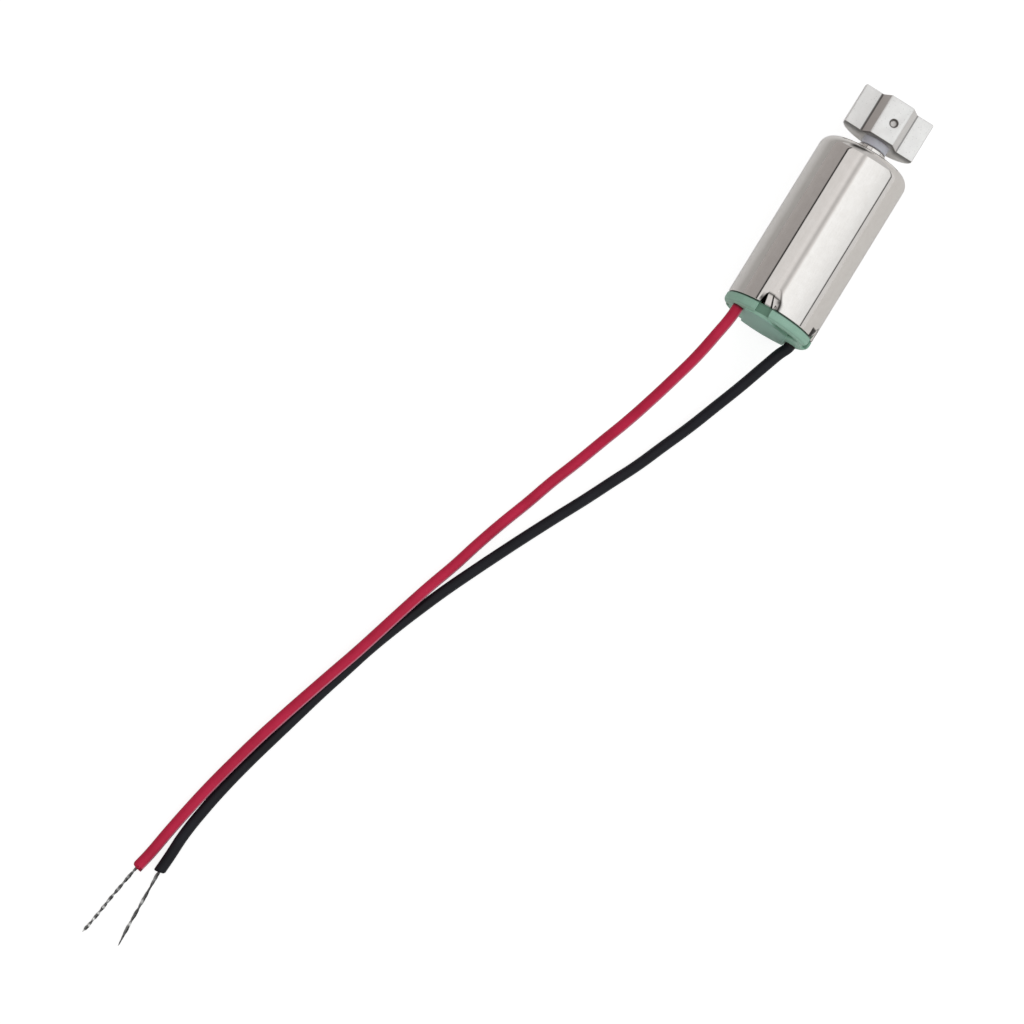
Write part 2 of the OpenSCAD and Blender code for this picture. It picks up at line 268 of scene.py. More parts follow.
    def surface(self, **sockets: Any) -> bpy.types.Material:
        """Ends the board in a Principled shader.

        Args:
            **sockets: Its sockets, with _ for spaces.

        Returns:
            The finished material.
        """
        named = {key.replace("_", " "): value for key, value in sockets.items()}
        for key in ("Base Color", "Emission Color", "Specular Tint"):
            if isinstance(named.get(key), tuple):
                named[key] = (*named[key], 1.0)
        shader = self.add("ShaderNodeBsdfPrincipled", {}, named)
        self.tree.links.new(shader.socket, self.output.inputs["Surface"])
        return self.material


# ---------------------------------------------------------------- finishes


SCATTER_REACH = (0.4 * MM, 0.6 * MM, 0.5 * MM)


@dataclass(frozen=True)
class PlateFinish:
    """Bright plate on a drawn can, with a soft mottle, fine drawn marks, marks left by pressing with painted
    shade at the crimps, and a painted dark reflection on the shoulder.
    """

    name: str
    tint: Colour
    shade: Colour
    press_and_painted_dark_colour: Colour
    gloss: tuple[float, float] = (0.03, 0.075)
    mottle_mm: float = 0.5
    depth_mm: float = 0.0002

    def make(self) -> bpy.types.Material:
        """Builds the material."""
        board = Board(self.name)
        drawn = board.speckle(board.place(Grain.DRAWN), 0.05, 3.0, 0.6)
        mottle = board.speckle(board.place(), self.mottle_mm, 5.0, 0.65)
        mark = board.painted("mark")
        tone = board.blend(board.spread(drawn * 0.35 + mottle * 0.65, 0.0, 1.0), self.shade, self.tint)
        return board.surface(
            # Painted shade with marks left by pressing at the crimps, and a painted dark reflection on the
            # shoulder, darken the plate here.
            Base_Color=board.blend(mark**0.6, tone, self.press_and_painted_dark_colour),
            Metallic=1.0,
            Roughness=board.spread(drawn * 0.4 + mottle * 0.6, *self.gloss) + mark * 0.25,
            Normal=board.bump(drawn * 0.5 + mottle * 0.5, self.depth_mm),
        )


@dataclass(frozen=True)
class MetalFinish:
    """A metal with fine marks that run one way, and a mottle."""

    name: str
    tint: Colour
    shade: Colour
    gloss: tuple[float, float] = (0.12, 0.22)
    grain: Grain = Grain.EVEN
    grain_mm: float = 0.05
    mottle_mm: float = 1.2
    depth_mm: float = 0.0006

    def make(self) -> bpy.types.Material:
        """Builds the material."""
        board = Board(self.name)
        marks = board.speckle(board.place(self.grain), self.grain_mm, 3.0, 0.6)
        mottle = board.speckle(board.place(), self.mottle_mm, 3.0)
        tone = board.blend(board.spread(marks * 0.6 + mottle * 0.4, 0.0, 1.0), self.shade, self.tint)
        return board.surface(
            Base_Color=tone,
            Metallic=1.0,
            Roughness=board.spread(marks * 0.5 + mottle * 0.5, *self.gloss),
            Normal=board.bump(marks, self.depth_mm),
        )


@dataclass(frozen=True)
class SinteredFinish:
    """A pressed and sintered material: a fine grain with small dark pores."""

    name: str
    tint: Colour
    pore: Colour
    gloss: tuple[float, float] = (0.34, 0.5)
    grain_mm: float = 0.07
    pore_mm: float = 0.16
    pore_share: float = 0.2
    depth_mm: float = 0.005

    def make(self) -> bpy.types.Material:
        """Builds the material."""
        board = Board(self.name)
        place = board.place()
        grain = board.speckle(place, self.grain_mm, 4.0, 0.65)
        pits = board.pits(place, self.pore_mm)
        open_pore = board.ramp(pits, [(self.pore_share * 0.5, 1.0), (self.pore_share, 0.0)])
        mottle = board.speckle(place, 0.9, 3.0)
        bright = board.blend(board.spread(mottle, 0.0, 0.35), self.tint, tuple(c * 0.8 for c in self.tint))
        return board.surface(
            Base_Color=board.blend(open_pore * 0.55, bright, self.pore),
            Metallic=1.0,
            Roughness=board.spread(grain * 0.7 + mottle * 0.3, *self.gloss),
            Normal=board.bump(grain - open_pore * 0.8, self.depth_mm),
        )


@dataclass(frozen=True)
class MouldingFinish:
    """A moulded plastic: faint flow marks, a fine texture and a little scatter."""

    name: str
    tint: Colour
    shade: Colour
    gloss: tuple[float, float] = (0.38, 0.5)
    texture_mm: float = 0.05
    depth_mm: float = 0.0025
    scatter: float = 0.0

    def make(self) -> bpy.types.Material:
        """Builds the material."""
        board = Board(self.name)
        fine = board.speckle(board.place(), self.texture_mm, 3.0, 0.6)
        flow = board.speckle(board.place(Grain.TURNED), 0.35, 2.0)
        tone = board.blend(board.spread(flow * 0.7 + fine * 0.3, 0.0, 1.0), self.shade, self.tint)
        return board.surface(
            Base_Color=tone,
            Roughness=board.spread(fine, *self.gloss),
            Subsurface_Weight=self.scatter,
            Subsurface_Radius=SCATTER_REACH,
            Subsurface_Scale=0.6,
            Normal=board.bump(fine * 0.7 + flow * 0.3, self.depth_mm),
        )


@dataclass(frozen=True)
class CapFinish:
    """A moulded cap: fine lines across its rim, a faint texture, and painted shade in its recesses, on its
    raised plate's rear face, under its rear recess's lip and where it meets the can.
    """

    name: str
    tint: Colour
    shade: Colour
    # Colour of the painted shade in the recesses and under the rear recess's lip.
    deep: Colour
    plate: Colour
    joint_shade: Colour
    gloss: tuple[float, float] = (0.42, 0.55)
    rim_x: float = -7.64
    deep_x: float = -7.9
    plate_shade_x: float = -8.03
    skin_radius: float = 2.9
    lines: float = 110.0
    lip_shadow_rolls: tuple[float, float] = (-1.0, -0.32)
    lip_shadow_radii: tuple[float, float] = (2.02, 2.4)

    def _lip_shadow(self, board: Board, turn: Signal, reach: Signal, along: Signal) -> Signal:
        """A wavy painted shadow under the rear recess's lip, between two rolls in radians and two radii, on
        the rear face only.
        """
        first, last = self.lip_shadow_rolls
        inner, outer = self.lip_shadow_radii
        wavy = reach + (board.speckle(board.place(), 0.5, 2.0) - 0.5) * (0.12 * MM)
        streak = board.step(turn, first - 0.16, first) * board.step(turn, last + 0.18, last)
        streak = streak * board.step(wavy, inner - 0.17, inner) * board.step(wavy, outer + 0.14, outer)
        return streak * board.step(along, self.deep_x, self.deep_x - 0.05)

    def make(self) -> bpy.types.Material:
        """Builds the material."""
        board = Board(self.name)
        along, across, up = board.axes()
        turn = across.angle_from(up)
        reach = (across * across + up * up) ** 0.5
        fine = board.speckle(board.place(), 0.05, 3.0, 0.6)
        lines = (turn * self.lines + fine * 2.0).wave()
        on_rim = board.step(along, self.rim_x - 0.05, self.rim_x + 0.05)
        # Painted shade on the faces inside the cap's skin ahead of its rear face: notch floors, spigot and
        # hole walls.
        sunk = board.step(reach, self.skin_radius + 0.03, self.skin_radius - 0.06)
        sunk = sunk * board.step(along, self.deep_x - 0.02, self.deep_x + 0.03)
        # Painted shade on the cap's front edge, where it meets the can.
        joint_shade = board.step(along, CAN_REAR_X - 0.13, CAN_REAR_X - 0.07)
        flow = board.spread(board.speckle(board.place(), 0.7, 3.0) * 0.5 + fine * 0.5, 0.0, 1.0)
        tone = board.blend(flow - lines * on_rim * 0.35, self.shade, self.tint)
        # Painted shade on the raised plate's rear face: a darker, bluer copy of the moulding's colour.
        tone = board.blend(board.step(along, self.plate_shade_x, self.plate_shade_x - 0.05) * 0.75, tone, self.plate)
        # Painted shadow under the lip of the rear recess.
        tone = board.blend(self._lip_shadow(board, turn * MM, reach, along) * 0.75, tone, self.deep)
        tone = board.blend(joint_shade * 0.8, tone, self.joint_shade)
        return board.surface(
            Base_Color=board.blend(sunk * 0.85, tone, self.deep),
            Roughness=board.spread(fine, *self.gloss),
            Subsurface_Weight=0.06,
            Subsurface_Radius=SCATTER_REACH,
            Subsurface_Scale=0.6,
            Normal=board.bump(fine * 0.6 + lines * on_rim * 0.4, 0.004),
        )


@dataclass(frozen=True)
class WeightFinish:
    """The tumbled counterweight: a sintered grain, with painted shade on its boss's sides and rear face,
    painted shade with some residue in the grooves at the boss's feet, and painted shade in the punched hole.
    """

    name: str
    tint: Colour
    pore: Colour
    boss_and_hole_shade: Colour
    # Colour of the painted shade in the corners, on the rear face and in the punched hole.
    dark: Colour
    boss_half: tuple[float, float] = (1.25, 0.8)
    boss_z: tuple[float, float] = (0.4, 1.5)
    punch: tuple[float, float, float] = (6.63, -0.17, 0.3)
    side_shade: tuple[tuple[int, float], ...] = ((1, 0.8), (-1, 0.35))
    foot_shade_and_residue: tuple[tuple[int, float, float, float, float], ...] = (
        (1, 0.09, 0.3, 0.12, 0.9), (-1, 0.07, 0.25, 0.1, 0.65)
    )

    def _corners(self, board: Board, across: Signal, up: Signal, tone: Signal) -> Signal:
        """Paints shade on the boss's sides, one darker than the other, and paints shade with some residue in
        the grooves at its feet.
        """
        base, top = self.boss_z
        on_side = board.step(up, base + 0.01, base + 0.05) * board.step(up, top - 0.02, top - 0.08)
        # Painted shade on the boss's sides, stronger on one side.
        for side, share in self.side_shade:
            flank = on_side * board.step(across, side * 0.7, side * 0.78)
            tone = board.blend(flank * share, tone, self.boss_and_hole_shade)
        # Painted shade, with some residue, in the grooves where the boss meets the wings.
        for side, half, fades_at, full_at, share in self.foot_shade_and_residue:
            foot = self._ridge(board, across, side * (self.boss_half[0] + 0.02), half)
            foot = foot * board.step(up, base - 0.03, base - 0.01)
            foot = foot * board.step(up, base + fades_at, base + full_at)
            tone = board.blend(foot * share, tone, self.dark)
        return tone

    def _rear_shade(self, board: Board, along: Signal, across: Signal, up: Signal) -> Signal:
        """Painted shade on the rear face, darkest just below its outline, with a ragged border."""
        base, top = self.boss_z
        ragged = (board.speckle(board.place(), 0.25, 3.0, 0.6) - 0.5) * (0.25 * MM)
        outline = board.step((across * across) ** 0.5, *self.boss_half) * ((top - base) * MM) + base * MM
        shade = board.step(outline - up + ragged, 1.35, 0.35)
        return shade * board.step(along, WEIGHT_REAR_X + 0.05, WEIGHT_REAR_X + 0.015)

    def make(self) -> bpy.types.Material:
        """Builds the material."""
        board = Board(self.name)
        along, across, up = board.axes(WEIGHT_LEAN)
        place = board.place()
        grain = board.speckle(place, 0.07, 4.0, 0.65)
        mottle = board.speckle(place, 0.5, 3.0)
        pore = board.step(board.pits(place, 0.17), 0.2, 0.08)
        clear = board.blend(board.spread(mottle, 0.0, 0.35), self.tint, tuple(c * 0.82 for c in self.tint))
        tone = self._corners(board, across, up, board.blend(pore * 0.45, clear, self.pore))
        top = self.boss_z[1]
        punch_x, punch_y, punch_radius = self.punch
        from_punch = ((along - punch_x * MM) ** 2.0 + (across - punch_y * MM) ** 2.0) ** 0.5
        # Painted shade in the punched hole, darkest on its wall.
        hole = board.step(from_punch, punch_radius + 0.03, punch_radius - 0.02)
        hole = hole * board.step(up, top + 0.01, top - 0.05)
        wall = hole * board.step(from_punch, 0.12, 0.2) * board.step(up, top - 0.24, top - 0.2)
        # Painted shade on the rear face.
        tone = board.blend(self._rear_shade(board, along, across, up) * 0.85, tone, self.dark)
        tone = board.blend(hole * 0.4, tone, self.boss_and_hole_shade)
        tone = board.blend(wall * 0.85, tone, self.dark)
        return board.surface(
            Base_Color=tone,
            Metallic=0.4,
            Specular_IOR_Level=1.0,
            Roughness=board.spread(grain * 0.7 + mottle * 0.3, 0.3, 0.44),
            Normal=board.bump(grain - pore * 0.8, 0.004),
        )

    @staticmethod
    def _ridge(board: Board, signal: Signal, at_mm: float, half_mm: float) -> Signal:
        """One at a place, falling to nothing at half_mm on either side."""
        rising = board.step(signal, at_mm - half_mm, at_mm - half_mm * 0.4)
        return rising * board.step(signal, at_mm + half_mm, at_mm + half_mm * 0.4)


@dataclass(frozen=True)
class StrandFinish:
    """Bright tinned strands with painted glints where a turn faces up, and painted shade between."""

    name: str
    glint: Colour
    dark: Colour

    def make(self) -> bpy.types.Material:
        """Builds the material."""
        board = Board(self.name)
        fine = board.speckle(board.place(), 0.08, 3.0, 0.6)
        return board.surface(
            # Painted glints, with painted shade between them.
            Base_Color=board.blend(board.painted("shine") + (fine - 0.5) * 0.5, self.dark, self.glint),
            Metallic=1.0,
            Roughness=board.spread(fine, 0.16, 0.3),
        )


@dataclass(frozen=True)
class InsulationFinish:
    """The soft satin skin of a lead, with handling marks, a painted highlight along one edge, and a painted
    shadow on its end in its hole.
    """

    name: str
    tint: Colour
    shade: Colour
    scuff_and_painted_reflection: Colour
    seam: Colour
    gloss: tuple[float, float] = (0.36, 0.5)
    hole_shadow: Colour = (0.02, 0.008, 0.008)

    def make(self) -> bpy.types.Material:
        """Builds the material."""
        board = Board(self.name)
        place = board.place()
        patch = board.speckle(place, 1.6, 3.0)
        fine = board.speckle(place, 0.06, 3.0, 0.6)
        marks = board.ramp(board.speckle(place, 0.5, 5.0, 0.7), [(0.66, 0.0), (0.78, 1.0)])
        tone = board.blend(board.spread(patch, 0.0, 1.0), self.shade, self.tint)
        # Painted shadow on the lead's end inside its hole.
        shaded = board.step(board.axes()[0], CAP_REAR_X - 0.2, CAP_REAR_X - 0.04)
        # Painted highlight along one edge of the lead.
        tone = board.blend(board.painted("seam") * 0.8, board.blend(marks * 0.5, tone, self.scuff_and_painted_reflection), self.seam)
        return board.surface(
            Base_Color=board.blend(shaded * 0.75, tone, self.hole_shadow),
            Specular_IOR_Level=0.22,
            Roughness=board.spread(fine * 0.5 + patch * 0.5, *self.gloss),
            Normal=board.bump(fine * 0.6 + patch * 0.4, 0.006),
        )


@dataclass(frozen=True)
class WindingFinish:
    """Enamelled wire laid in slanting turns round the shaft's axis, with painted shade in the gaps between
    turns.
    """

    name: str
    tint: Colour
    gap: Colour
    turns: float = 46.0
    slant_per_mm: float = 0.42

    def make(self) -> bpy.types.Material:
        """Builds the material."""
        board = Board(self.name)
        along, across, up = board.axes()
        roll = across.angle_from(up)
        ridge = (roll * self.turns + along * (self.slant_per_mm / MM * self.turns)).wave()
        tone = board.speckle(board.place(), 0.5, 3.0)
        wire = board.blend(board.spread(tone, 0.0, 0.4), self.tint, tuple(c * 0.6 for c in self.tint))
        return board.surface(
            # Painted shade in the gaps between turns.
            Base_Color=board.blend(ridge**0.6, self.gap, wire),
            Metallic=0.75,
            Roughness=board.spread(tone, 0.22, 0.34),
            Normal=board.bump(ridge, 0.03),
            Coat_Weight=0.6,
            Coat_Roughness=0.12,
        )


FINISHES = {
    "nickel_can": PlateFinish(
        "nickel_plate", tint=(0.93, 0.895, 0.865), shade=(0.85, 0.81, 0.775), press_and_painted_dark_colour=(0.03, 0.027, 0.024)
    ),
    "green_moulding": CapFinish(
        "green_moulding", tint=(0.375, 0.6, 0.475), shade=(0.31, 0.53, 0.41), deep=(0.12, 0.25, 0.17),
        plate=(0.27, 0.465, 0.385), joint_shade=(0.03, 0.045, 0.038),
    ),
    "steel": MetalFinish(
        "bearing_steel", (0.78, 0.77, 0.75), (0.6, 0.59, 0.57), (0.2, 0.32), Grain.TURNED, grain_mm=0.04
    ),
    "bronze": SinteredFinish(
        "oiled_bronze", (0.66, 0.46, 0.22), (0.1, 0.06, 0.03), (0.3, 0.42),
        grain_mm=0.05, pore_mm=0.12, pore_share=0.35,
    ),
    "magnet": SinteredFinish(
        "sintered_magnet", (0.34, 0.34, 0.35), (0.06, 0.06, 0.06), (0.4, 0.55),
        grain_mm=0.05, pore_mm=0.14, pore_share=0.3,
    ),
    "shaft_steel": MetalFinish(
        "ground_steel", (0.86, 0.85, 0.83), (0.7, 0.69, 0.67), (0.12, 0.22), Grain.TURNED, grain_mm=0.03
    ),
    "white_moulding": MouldingFinish(
        "white_moulding", (0.86, 0.86, 0.83), (0.76, 0.76, 0.73), (0.4, 0.55)
    ),
    "brown_moulding": MouldingFinish(
        "brown_moulding", (0.24, 0.12, 0.06), (0.14, 0.07, 0.035), (0.4, 0.6), texture_mm=0.08
    ),
    "copper": MetalFinish(
        "turned_copper", (0.88, 0.5, 0.32), (0.66, 0.34, 0.2), (0.18, 0.3), Grain.TURNED, grain_mm=0.03
    ),
    "enamelled_copper": WindingFinish("enamelled_wire", tint=(0.66, 0.22, 0.07), gap=(0.09, 0.025, 0.01)),
    "solder": MetalFinish(
        "solder", (0.74, 0.74, 0.75), (0.52, 0.52, 0.54), (0.15, 0.35),
        grain_mm=0.12, mottle_mm=0.3, depth_mm=0.004,
    ),
    "spacer_moulding": MouldingFinish(
        "spacer_moulding", (0.74, 0.745, 0.8), (0.64, 0.65, 0.72), (0.3, 0.42),
        texture_mm=0.04, depth_mm=0.002, scatter=0.1,
    ),
    "tungsten": WeightFinish(
        "tumbled_alloy", tint=(1.0, 0.985, 0.965), pore=(0.4, 0.385, 0.37), boss_and_hole_shade=(0.44, 0.385, 0.36),
        dark=(0.05, 0.04, 0.035),
    ),
    "terminal_brass": MetalFinish(
        "terminal_brass", (0.84, 0.66, 0.33), (0.7, 0.52, 0.24), (0.16, 0.3), Grain.DRAWN
    ),
    "brush_alloy": MetalFinish("brush_alloy", (0.86, 0.62, 0.4), (0.72, 0.5, 0.3), (0.12, 0.26), Grain.DRAWN),
    "red_insulation": InsulationFinish(
        "red_insulation", tint=(0.66, 0.018, 0.075), shade=(0.55, 0.013, 0.055), scuff_and_painted_reflection=(0.72, 0.14, 0.2),
        seam=(0.72, 0.3, 0.4),
    ),
    "black_insulation": InsulationFinish(
        "black_insulation", tint=(0.012, 0.012, 0.018), shade=(0.006, 0.006, 0.009), scuff_and_painted_reflection=(0.05, 0.05, 0.06),
        seam=(0.03, 0.03, 0.035),
    ),
    "tinned_copper": StrandFinish("tinned_strands", glint=(0.95, 0.945, 0.93), dark=(0.035, 0.035, 0.035)),
}


class Dresser:
    """Makes each finish once and puts it on pieces and frame nodes."""

    def __init__(self) -> None:
        """Starts with nothing made."""
        self._made: dict[str, bpy.types.Material] = {}

    def material(self, slot: str) -> bpy.types.Material:
        """The finish of a record slot."""
        if slot not in self._made:
            self._made[slot] = FINISHES[slot].make()
        return self._made[slot]

    def piece(self, piece: bpy.types.Object, slot: str, body: Body, *nodes: str) -> bpy.types.Object:
        """Finishes a new piece and ties it to the frame.

        Args:
            piece: The piece, in place.
            slot: The record's slot that it takes its finish from.
            body: The body that it rides on.
            *nodes: The frame nodes that it stands for.

        Returns:
            The piece.
        """
        piece.data.materials.clear()
        piece.data.materials.append(self.material(slot))
        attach(piece, body.value)
        if nodes:
            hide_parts(*nodes)
        LOG.info("%s rides on %s", piece.name, body.value)
        return piece

    def frame(self, frame: dict[str, Any]) -> None:
        """Finishes every node of the frame by its record slot."""
        for part in frame["record"]["subparts"]:
            node = frame["nodes"][part["node"]]
            for index in range(len(node.data.materials)):
                node.data.materials[index] = self.material(part["material_slot"])
            LOG.info("%s is finished as %s", part["node"], part["material_slot"])


# ---------------------------------------------------------------- mesh work


class Corner(NamedTuple):
    """A corner of a half section: its station along the shaft, its radius, and how it is rounded."""

    x: float
    radius: float
    round_mm: float = 0.0
    steps: int = 4


class Blank:
    """A mesh under work, in millimetres."""

    def __init__(self) -> None:
        """Starts empty."""
        self.bm = bmesh.new()

    def section(self, corners: Sequence[Corner], closed: bool = False) -> None:
        """Draws a half section above the shaft's axis and rounds its corners.

        Args:
            corners: The corners in order.
            closed: Whether the last corner joins the first.
        """
        made = [self.bm.verts.new((c.x, 0.0, AXIS_Z + c.radius)) for c in corners]
        pairs = list(zip(made, made[1:])) + ([(made[-1], made[0])] if closed else [])
        for first, second in pairs:
            self.bm.edges.new((first, second))
        for vert, corner in zip(made, corners):
            if corner.round_mm:
                self.bevel([vert], corner.round_mm, corner.steps, affect="VERTICES")

    def bevel(self, geom: Sequence[Any], width: float, steps: int, **options: Any) -> None:
        """Bevels corners or edges to round arcs of a width, in steps."""
        bmesh.ops.bevel(
            self.bm, geom=geom, offset=width, offset_type="OFFSET", segments=steps, profile=0.5, material=-1,
            **options,
        )

    def split_rows(self, start: float, end: float, rows: int) -> None:
        """Cuts the section's edge from start to end into rows."""
        edges = []
        for edge in self.bm.edges:
            low, high = sorted(v.co.x for v in edge.verts)
            if abs(low - start) < SAME_PLACE and abs(high - end) < SAME_PLACE:
                edges.append(edge)
        bmesh.ops.subdivide_edges(self.bm, edges=edges, cuts=rows - 1)

    def turn(self, columns: int, angle: float = TURN) -> None:
        """Spins the section about the shaft's axis; a whole turn is closed up and cleaned."""
        whole = angle == TURN
        bmesh.ops.spin(
            self.bm, geom=self.bm.verts[:] + self.bm.edges[:], cent=(0, 0, AXIS_Z), axis=(1, 0, 0),
            angle=angle, steps=columns, use_merge=whole,
        )
        if whole:
            self.clean()

    def clean(self) -> None:
        """Merges doubles and points every face outwards."""
        bmesh.ops.remove_doubles(self.bm, verts=self.bm.verts[:], dist=WELD)
        bmesh.ops.dissolve_degenerate(self.bm, edges=self.bm.edges[:], dist=WELD / 10)
        self.face_out()

    def face_out(self) -> None:
        """Points every face outwards."""
        bmesh.ops.recalc_face_normals(self.bm, faces=self.bm.faces[:])

    def round_edges(
        self, width: float, steps: int, sharper_than: float, only: Callable[..., bool] | None = None
    ) -> None:
        """Bevels every edge that is sharper than an angle.

        Args:
            width: Width of the bevel.
            steps: Segments of the bevel.
            sharper_than: Angle in degrees.
            only: Keeps the edges for which it is true.
        """
        limit = math.radians(sharper_than)
        sharp = [e for e in self.bm.edges if len(e.link_faces) == 2 and e.calc_face_angle(0.0) > limit]
        kept = [e for e in sharp if only is None or only(e)]
        self.bevel(kept, width, steps, affect="EDGES", clamp_overlap=True)

    def thicken(self, faces: Sequence[bmesh.types.BMFace], by: Point) -> list[bmesh.types.BMVert]:
        """Draws faces out into a solid and returns the far side's vertices."""
        grown = bmesh.ops.extrude_face_region(self.bm, geom=faces)["geom"]
        far = [g for g in grown if isinstance(g, bmesh.types.BMVert)]
        bmesh.ops.translate(self.bm, vec=by, verts=far)
        return far

    def bar(self, centre: Point, size: Point, roll: float) -> None:
        """Adds a box by its centre and size, then rolls it about the shaft's axis."""
        made = bmesh.ops.create_cube(self.bm, size=1.0)["verts"]
        bmesh.ops.scale(self.bm, vec=Vector(size), verts=made)
        bmesh.ops.translate(self.bm, vec=Vector(centre), verts=made)
        self.roll(made, roll)

    def strip(self, outline: Sequence[tuple[float, float]], width: float, roll: float) -> None:
        """Adds a strip of a width across, from an outline of stations and radii, then rolls it."""
        made = [self.bm.verts.new((x, -width / 2, AXIS_Z + radius)) for x, radius in outline]
        far = self.thicken([self.bm.faces.new(made)], (0, width, 0))
        self.roll(made + far, roll)
        self.face_out()

    def rod(
        self, centre: Point, radii: tuple[float, float], length: float, sides: int = 48
    ) -> list[bmesh.types.BMVert]:
        """Adds an upright rod by its centre, lower and upper radius and length, and returns its vertices."""
        made = bmesh.ops.create_cone(
            self.bm, cap_ends=True, segments=sides, radius1=radii[0], radius2=radii[1], depth=length
        )["verts"]
        bmesh.ops.translate(self.bm, vec=Vector(centre), verts=made)
        return made

    def lying_rod(
        self, centre: Point, radius: float, length: float, sides: int = 48, roll: float = 0.0
    ) -> None:
        """Adds a rod along the shaft by its centre, radius and length, then rolls it."""
        made = self.rod((0, 0, 0), (radius, radius), length, sides)
        bmesh.ops.rotate(self.bm, cent=(0, 0, 0), matrix=QUARTER_TURN, verts=made)
        bmesh.ops.translate(self.bm, vec=Vector(centre), verts=made)
        self.roll(made, roll)

    def roll(self, verts: Sequence[bmesh.types.BMVert], degrees: float) -> None:
        """Turns vertices about the shaft's axis."""
        turn = Matrix.Rotation(math.radians(degrees), 3, "X")
        bmesh.ops.rotate(self.bm, cent=(0, 0, AXIS_Z), matrix=turn, verts=verts)

    def piece(self, name: str, sharp: float = 35.0, scale: float = MM) -> bpy.types.Object:
        """Turns the work into a finished piece in metres.

        Args:
            name: The piece's name.
            sharp: Edges sharper than this angle in degrees stay crisp.
            scale: Metres to a unit of the work.

        Returns:
            The new object, at the origin.
        """
        bmesh.ops.scale(self.bm, vec=(scale,) * 3, verts=self.bm.verts[:])
        mesh = bpy.data.meshes.new(name)
        self.bm.to_mesh(mesh)
        self.bm.free()
        mesh.shade_smooth()
        mesh.set_sharp_from_angle(angle=math.radians(sharp))
        made = bpy.data.objects.new(name, mesh)
        bpy.context.scene.collection.objects.link(made)
        return made

    def take_in(self, other: "Blank") -> None:
        """Adds another blank's mesh and frees it."""
        mesh = bpy.data.meshes.new("taken_in")
        other.bm.to_mesh(mesh)
        other.bm.free()
        self.bm.from_mesh(mesh)
        bpy.data.meshes.remove(mesh)

    @classmethod
    def carved(cls, solid: "Blank", cutter: "Blank") -> "Blank":
        """Takes one closed blank out of another.

        Args:
            solid: What is cut.
            cutter: What is taken away.

        Returns:
            What is left, cleaned.
        """
        kept, tool = solid.piece("carved_solid", scale=1.0), cutter.piece("carving_tool", scale=1.0)
        modifier = kept.modifiers.new("carve", "BOOLEAN")
        modifier.operation, modifier.solver, modifier.object = "DIFFERENCE", "EXACT", tool
        modifier.use_self = True
        done = cls.of_shown(kept.evaluated_get(bpy.context.evaluated_depsgraph_get()))
        for spent in (kept, tool):
            mesh = spent.data
            bpy.data.objects.remove(spent)
            bpy.data.meshes.remove(mesh)
        done.clean()
        return done

    @classmethod
    def of_shown(cls, shown: bpy.types.Object) -> "Blank":
        """A blank from an object as its modifiers or its curve's bevel show it."""
        mesh = bpy.data.meshes.new_from_object(shown)
        blank = cls()
        blank.bm.from_mesh(mesh)
        bpy.data.meshes.remove(mesh)
        return blank

    @classmethod
    def of_curve(cls, curve: bpy.types.Curve) -> "Blank":
        """A blank from a curve, which is used up."""
        holder = bpy.data.objects.new(curve.name, curve)
        blank = cls.of_shown(holder)
        bpy.data.objects.remove(holder)
        bpy.data.curves.remove(curve)
        return blank


def eased(value: float) -> float:
    """Smooth step from 0 to 1."""
    value = min(max(value, 0.0), 1.0)
    return value * value * (3 - 2 * value)


def between(first: float, second: float, share: float) -> float:
    """Value part of the way from first to second."""
    return first + (second - first) * share


def nearness(distance: float, width: float) -> float:
    """One on a line, fading away from it."""
    return math.exp(-((distance / width) ** 2))


def roll_of(vert: bmesh.types.BMVert) -> float:
    """A vertex's roll about the shaft's axis, in degrees."""
    return math.degrees(math.atan2(-vert.co.y, vert.co.z - AXIS_Z))


def reach_of(vert: bmesh.types.BMVert) -> float:
    """A vertex's distance from the shaft's axis."""
    return math.hypot(vert.co.y, vert.co.z - AXIS_Z)


# ---------------------------------------------------------------- can


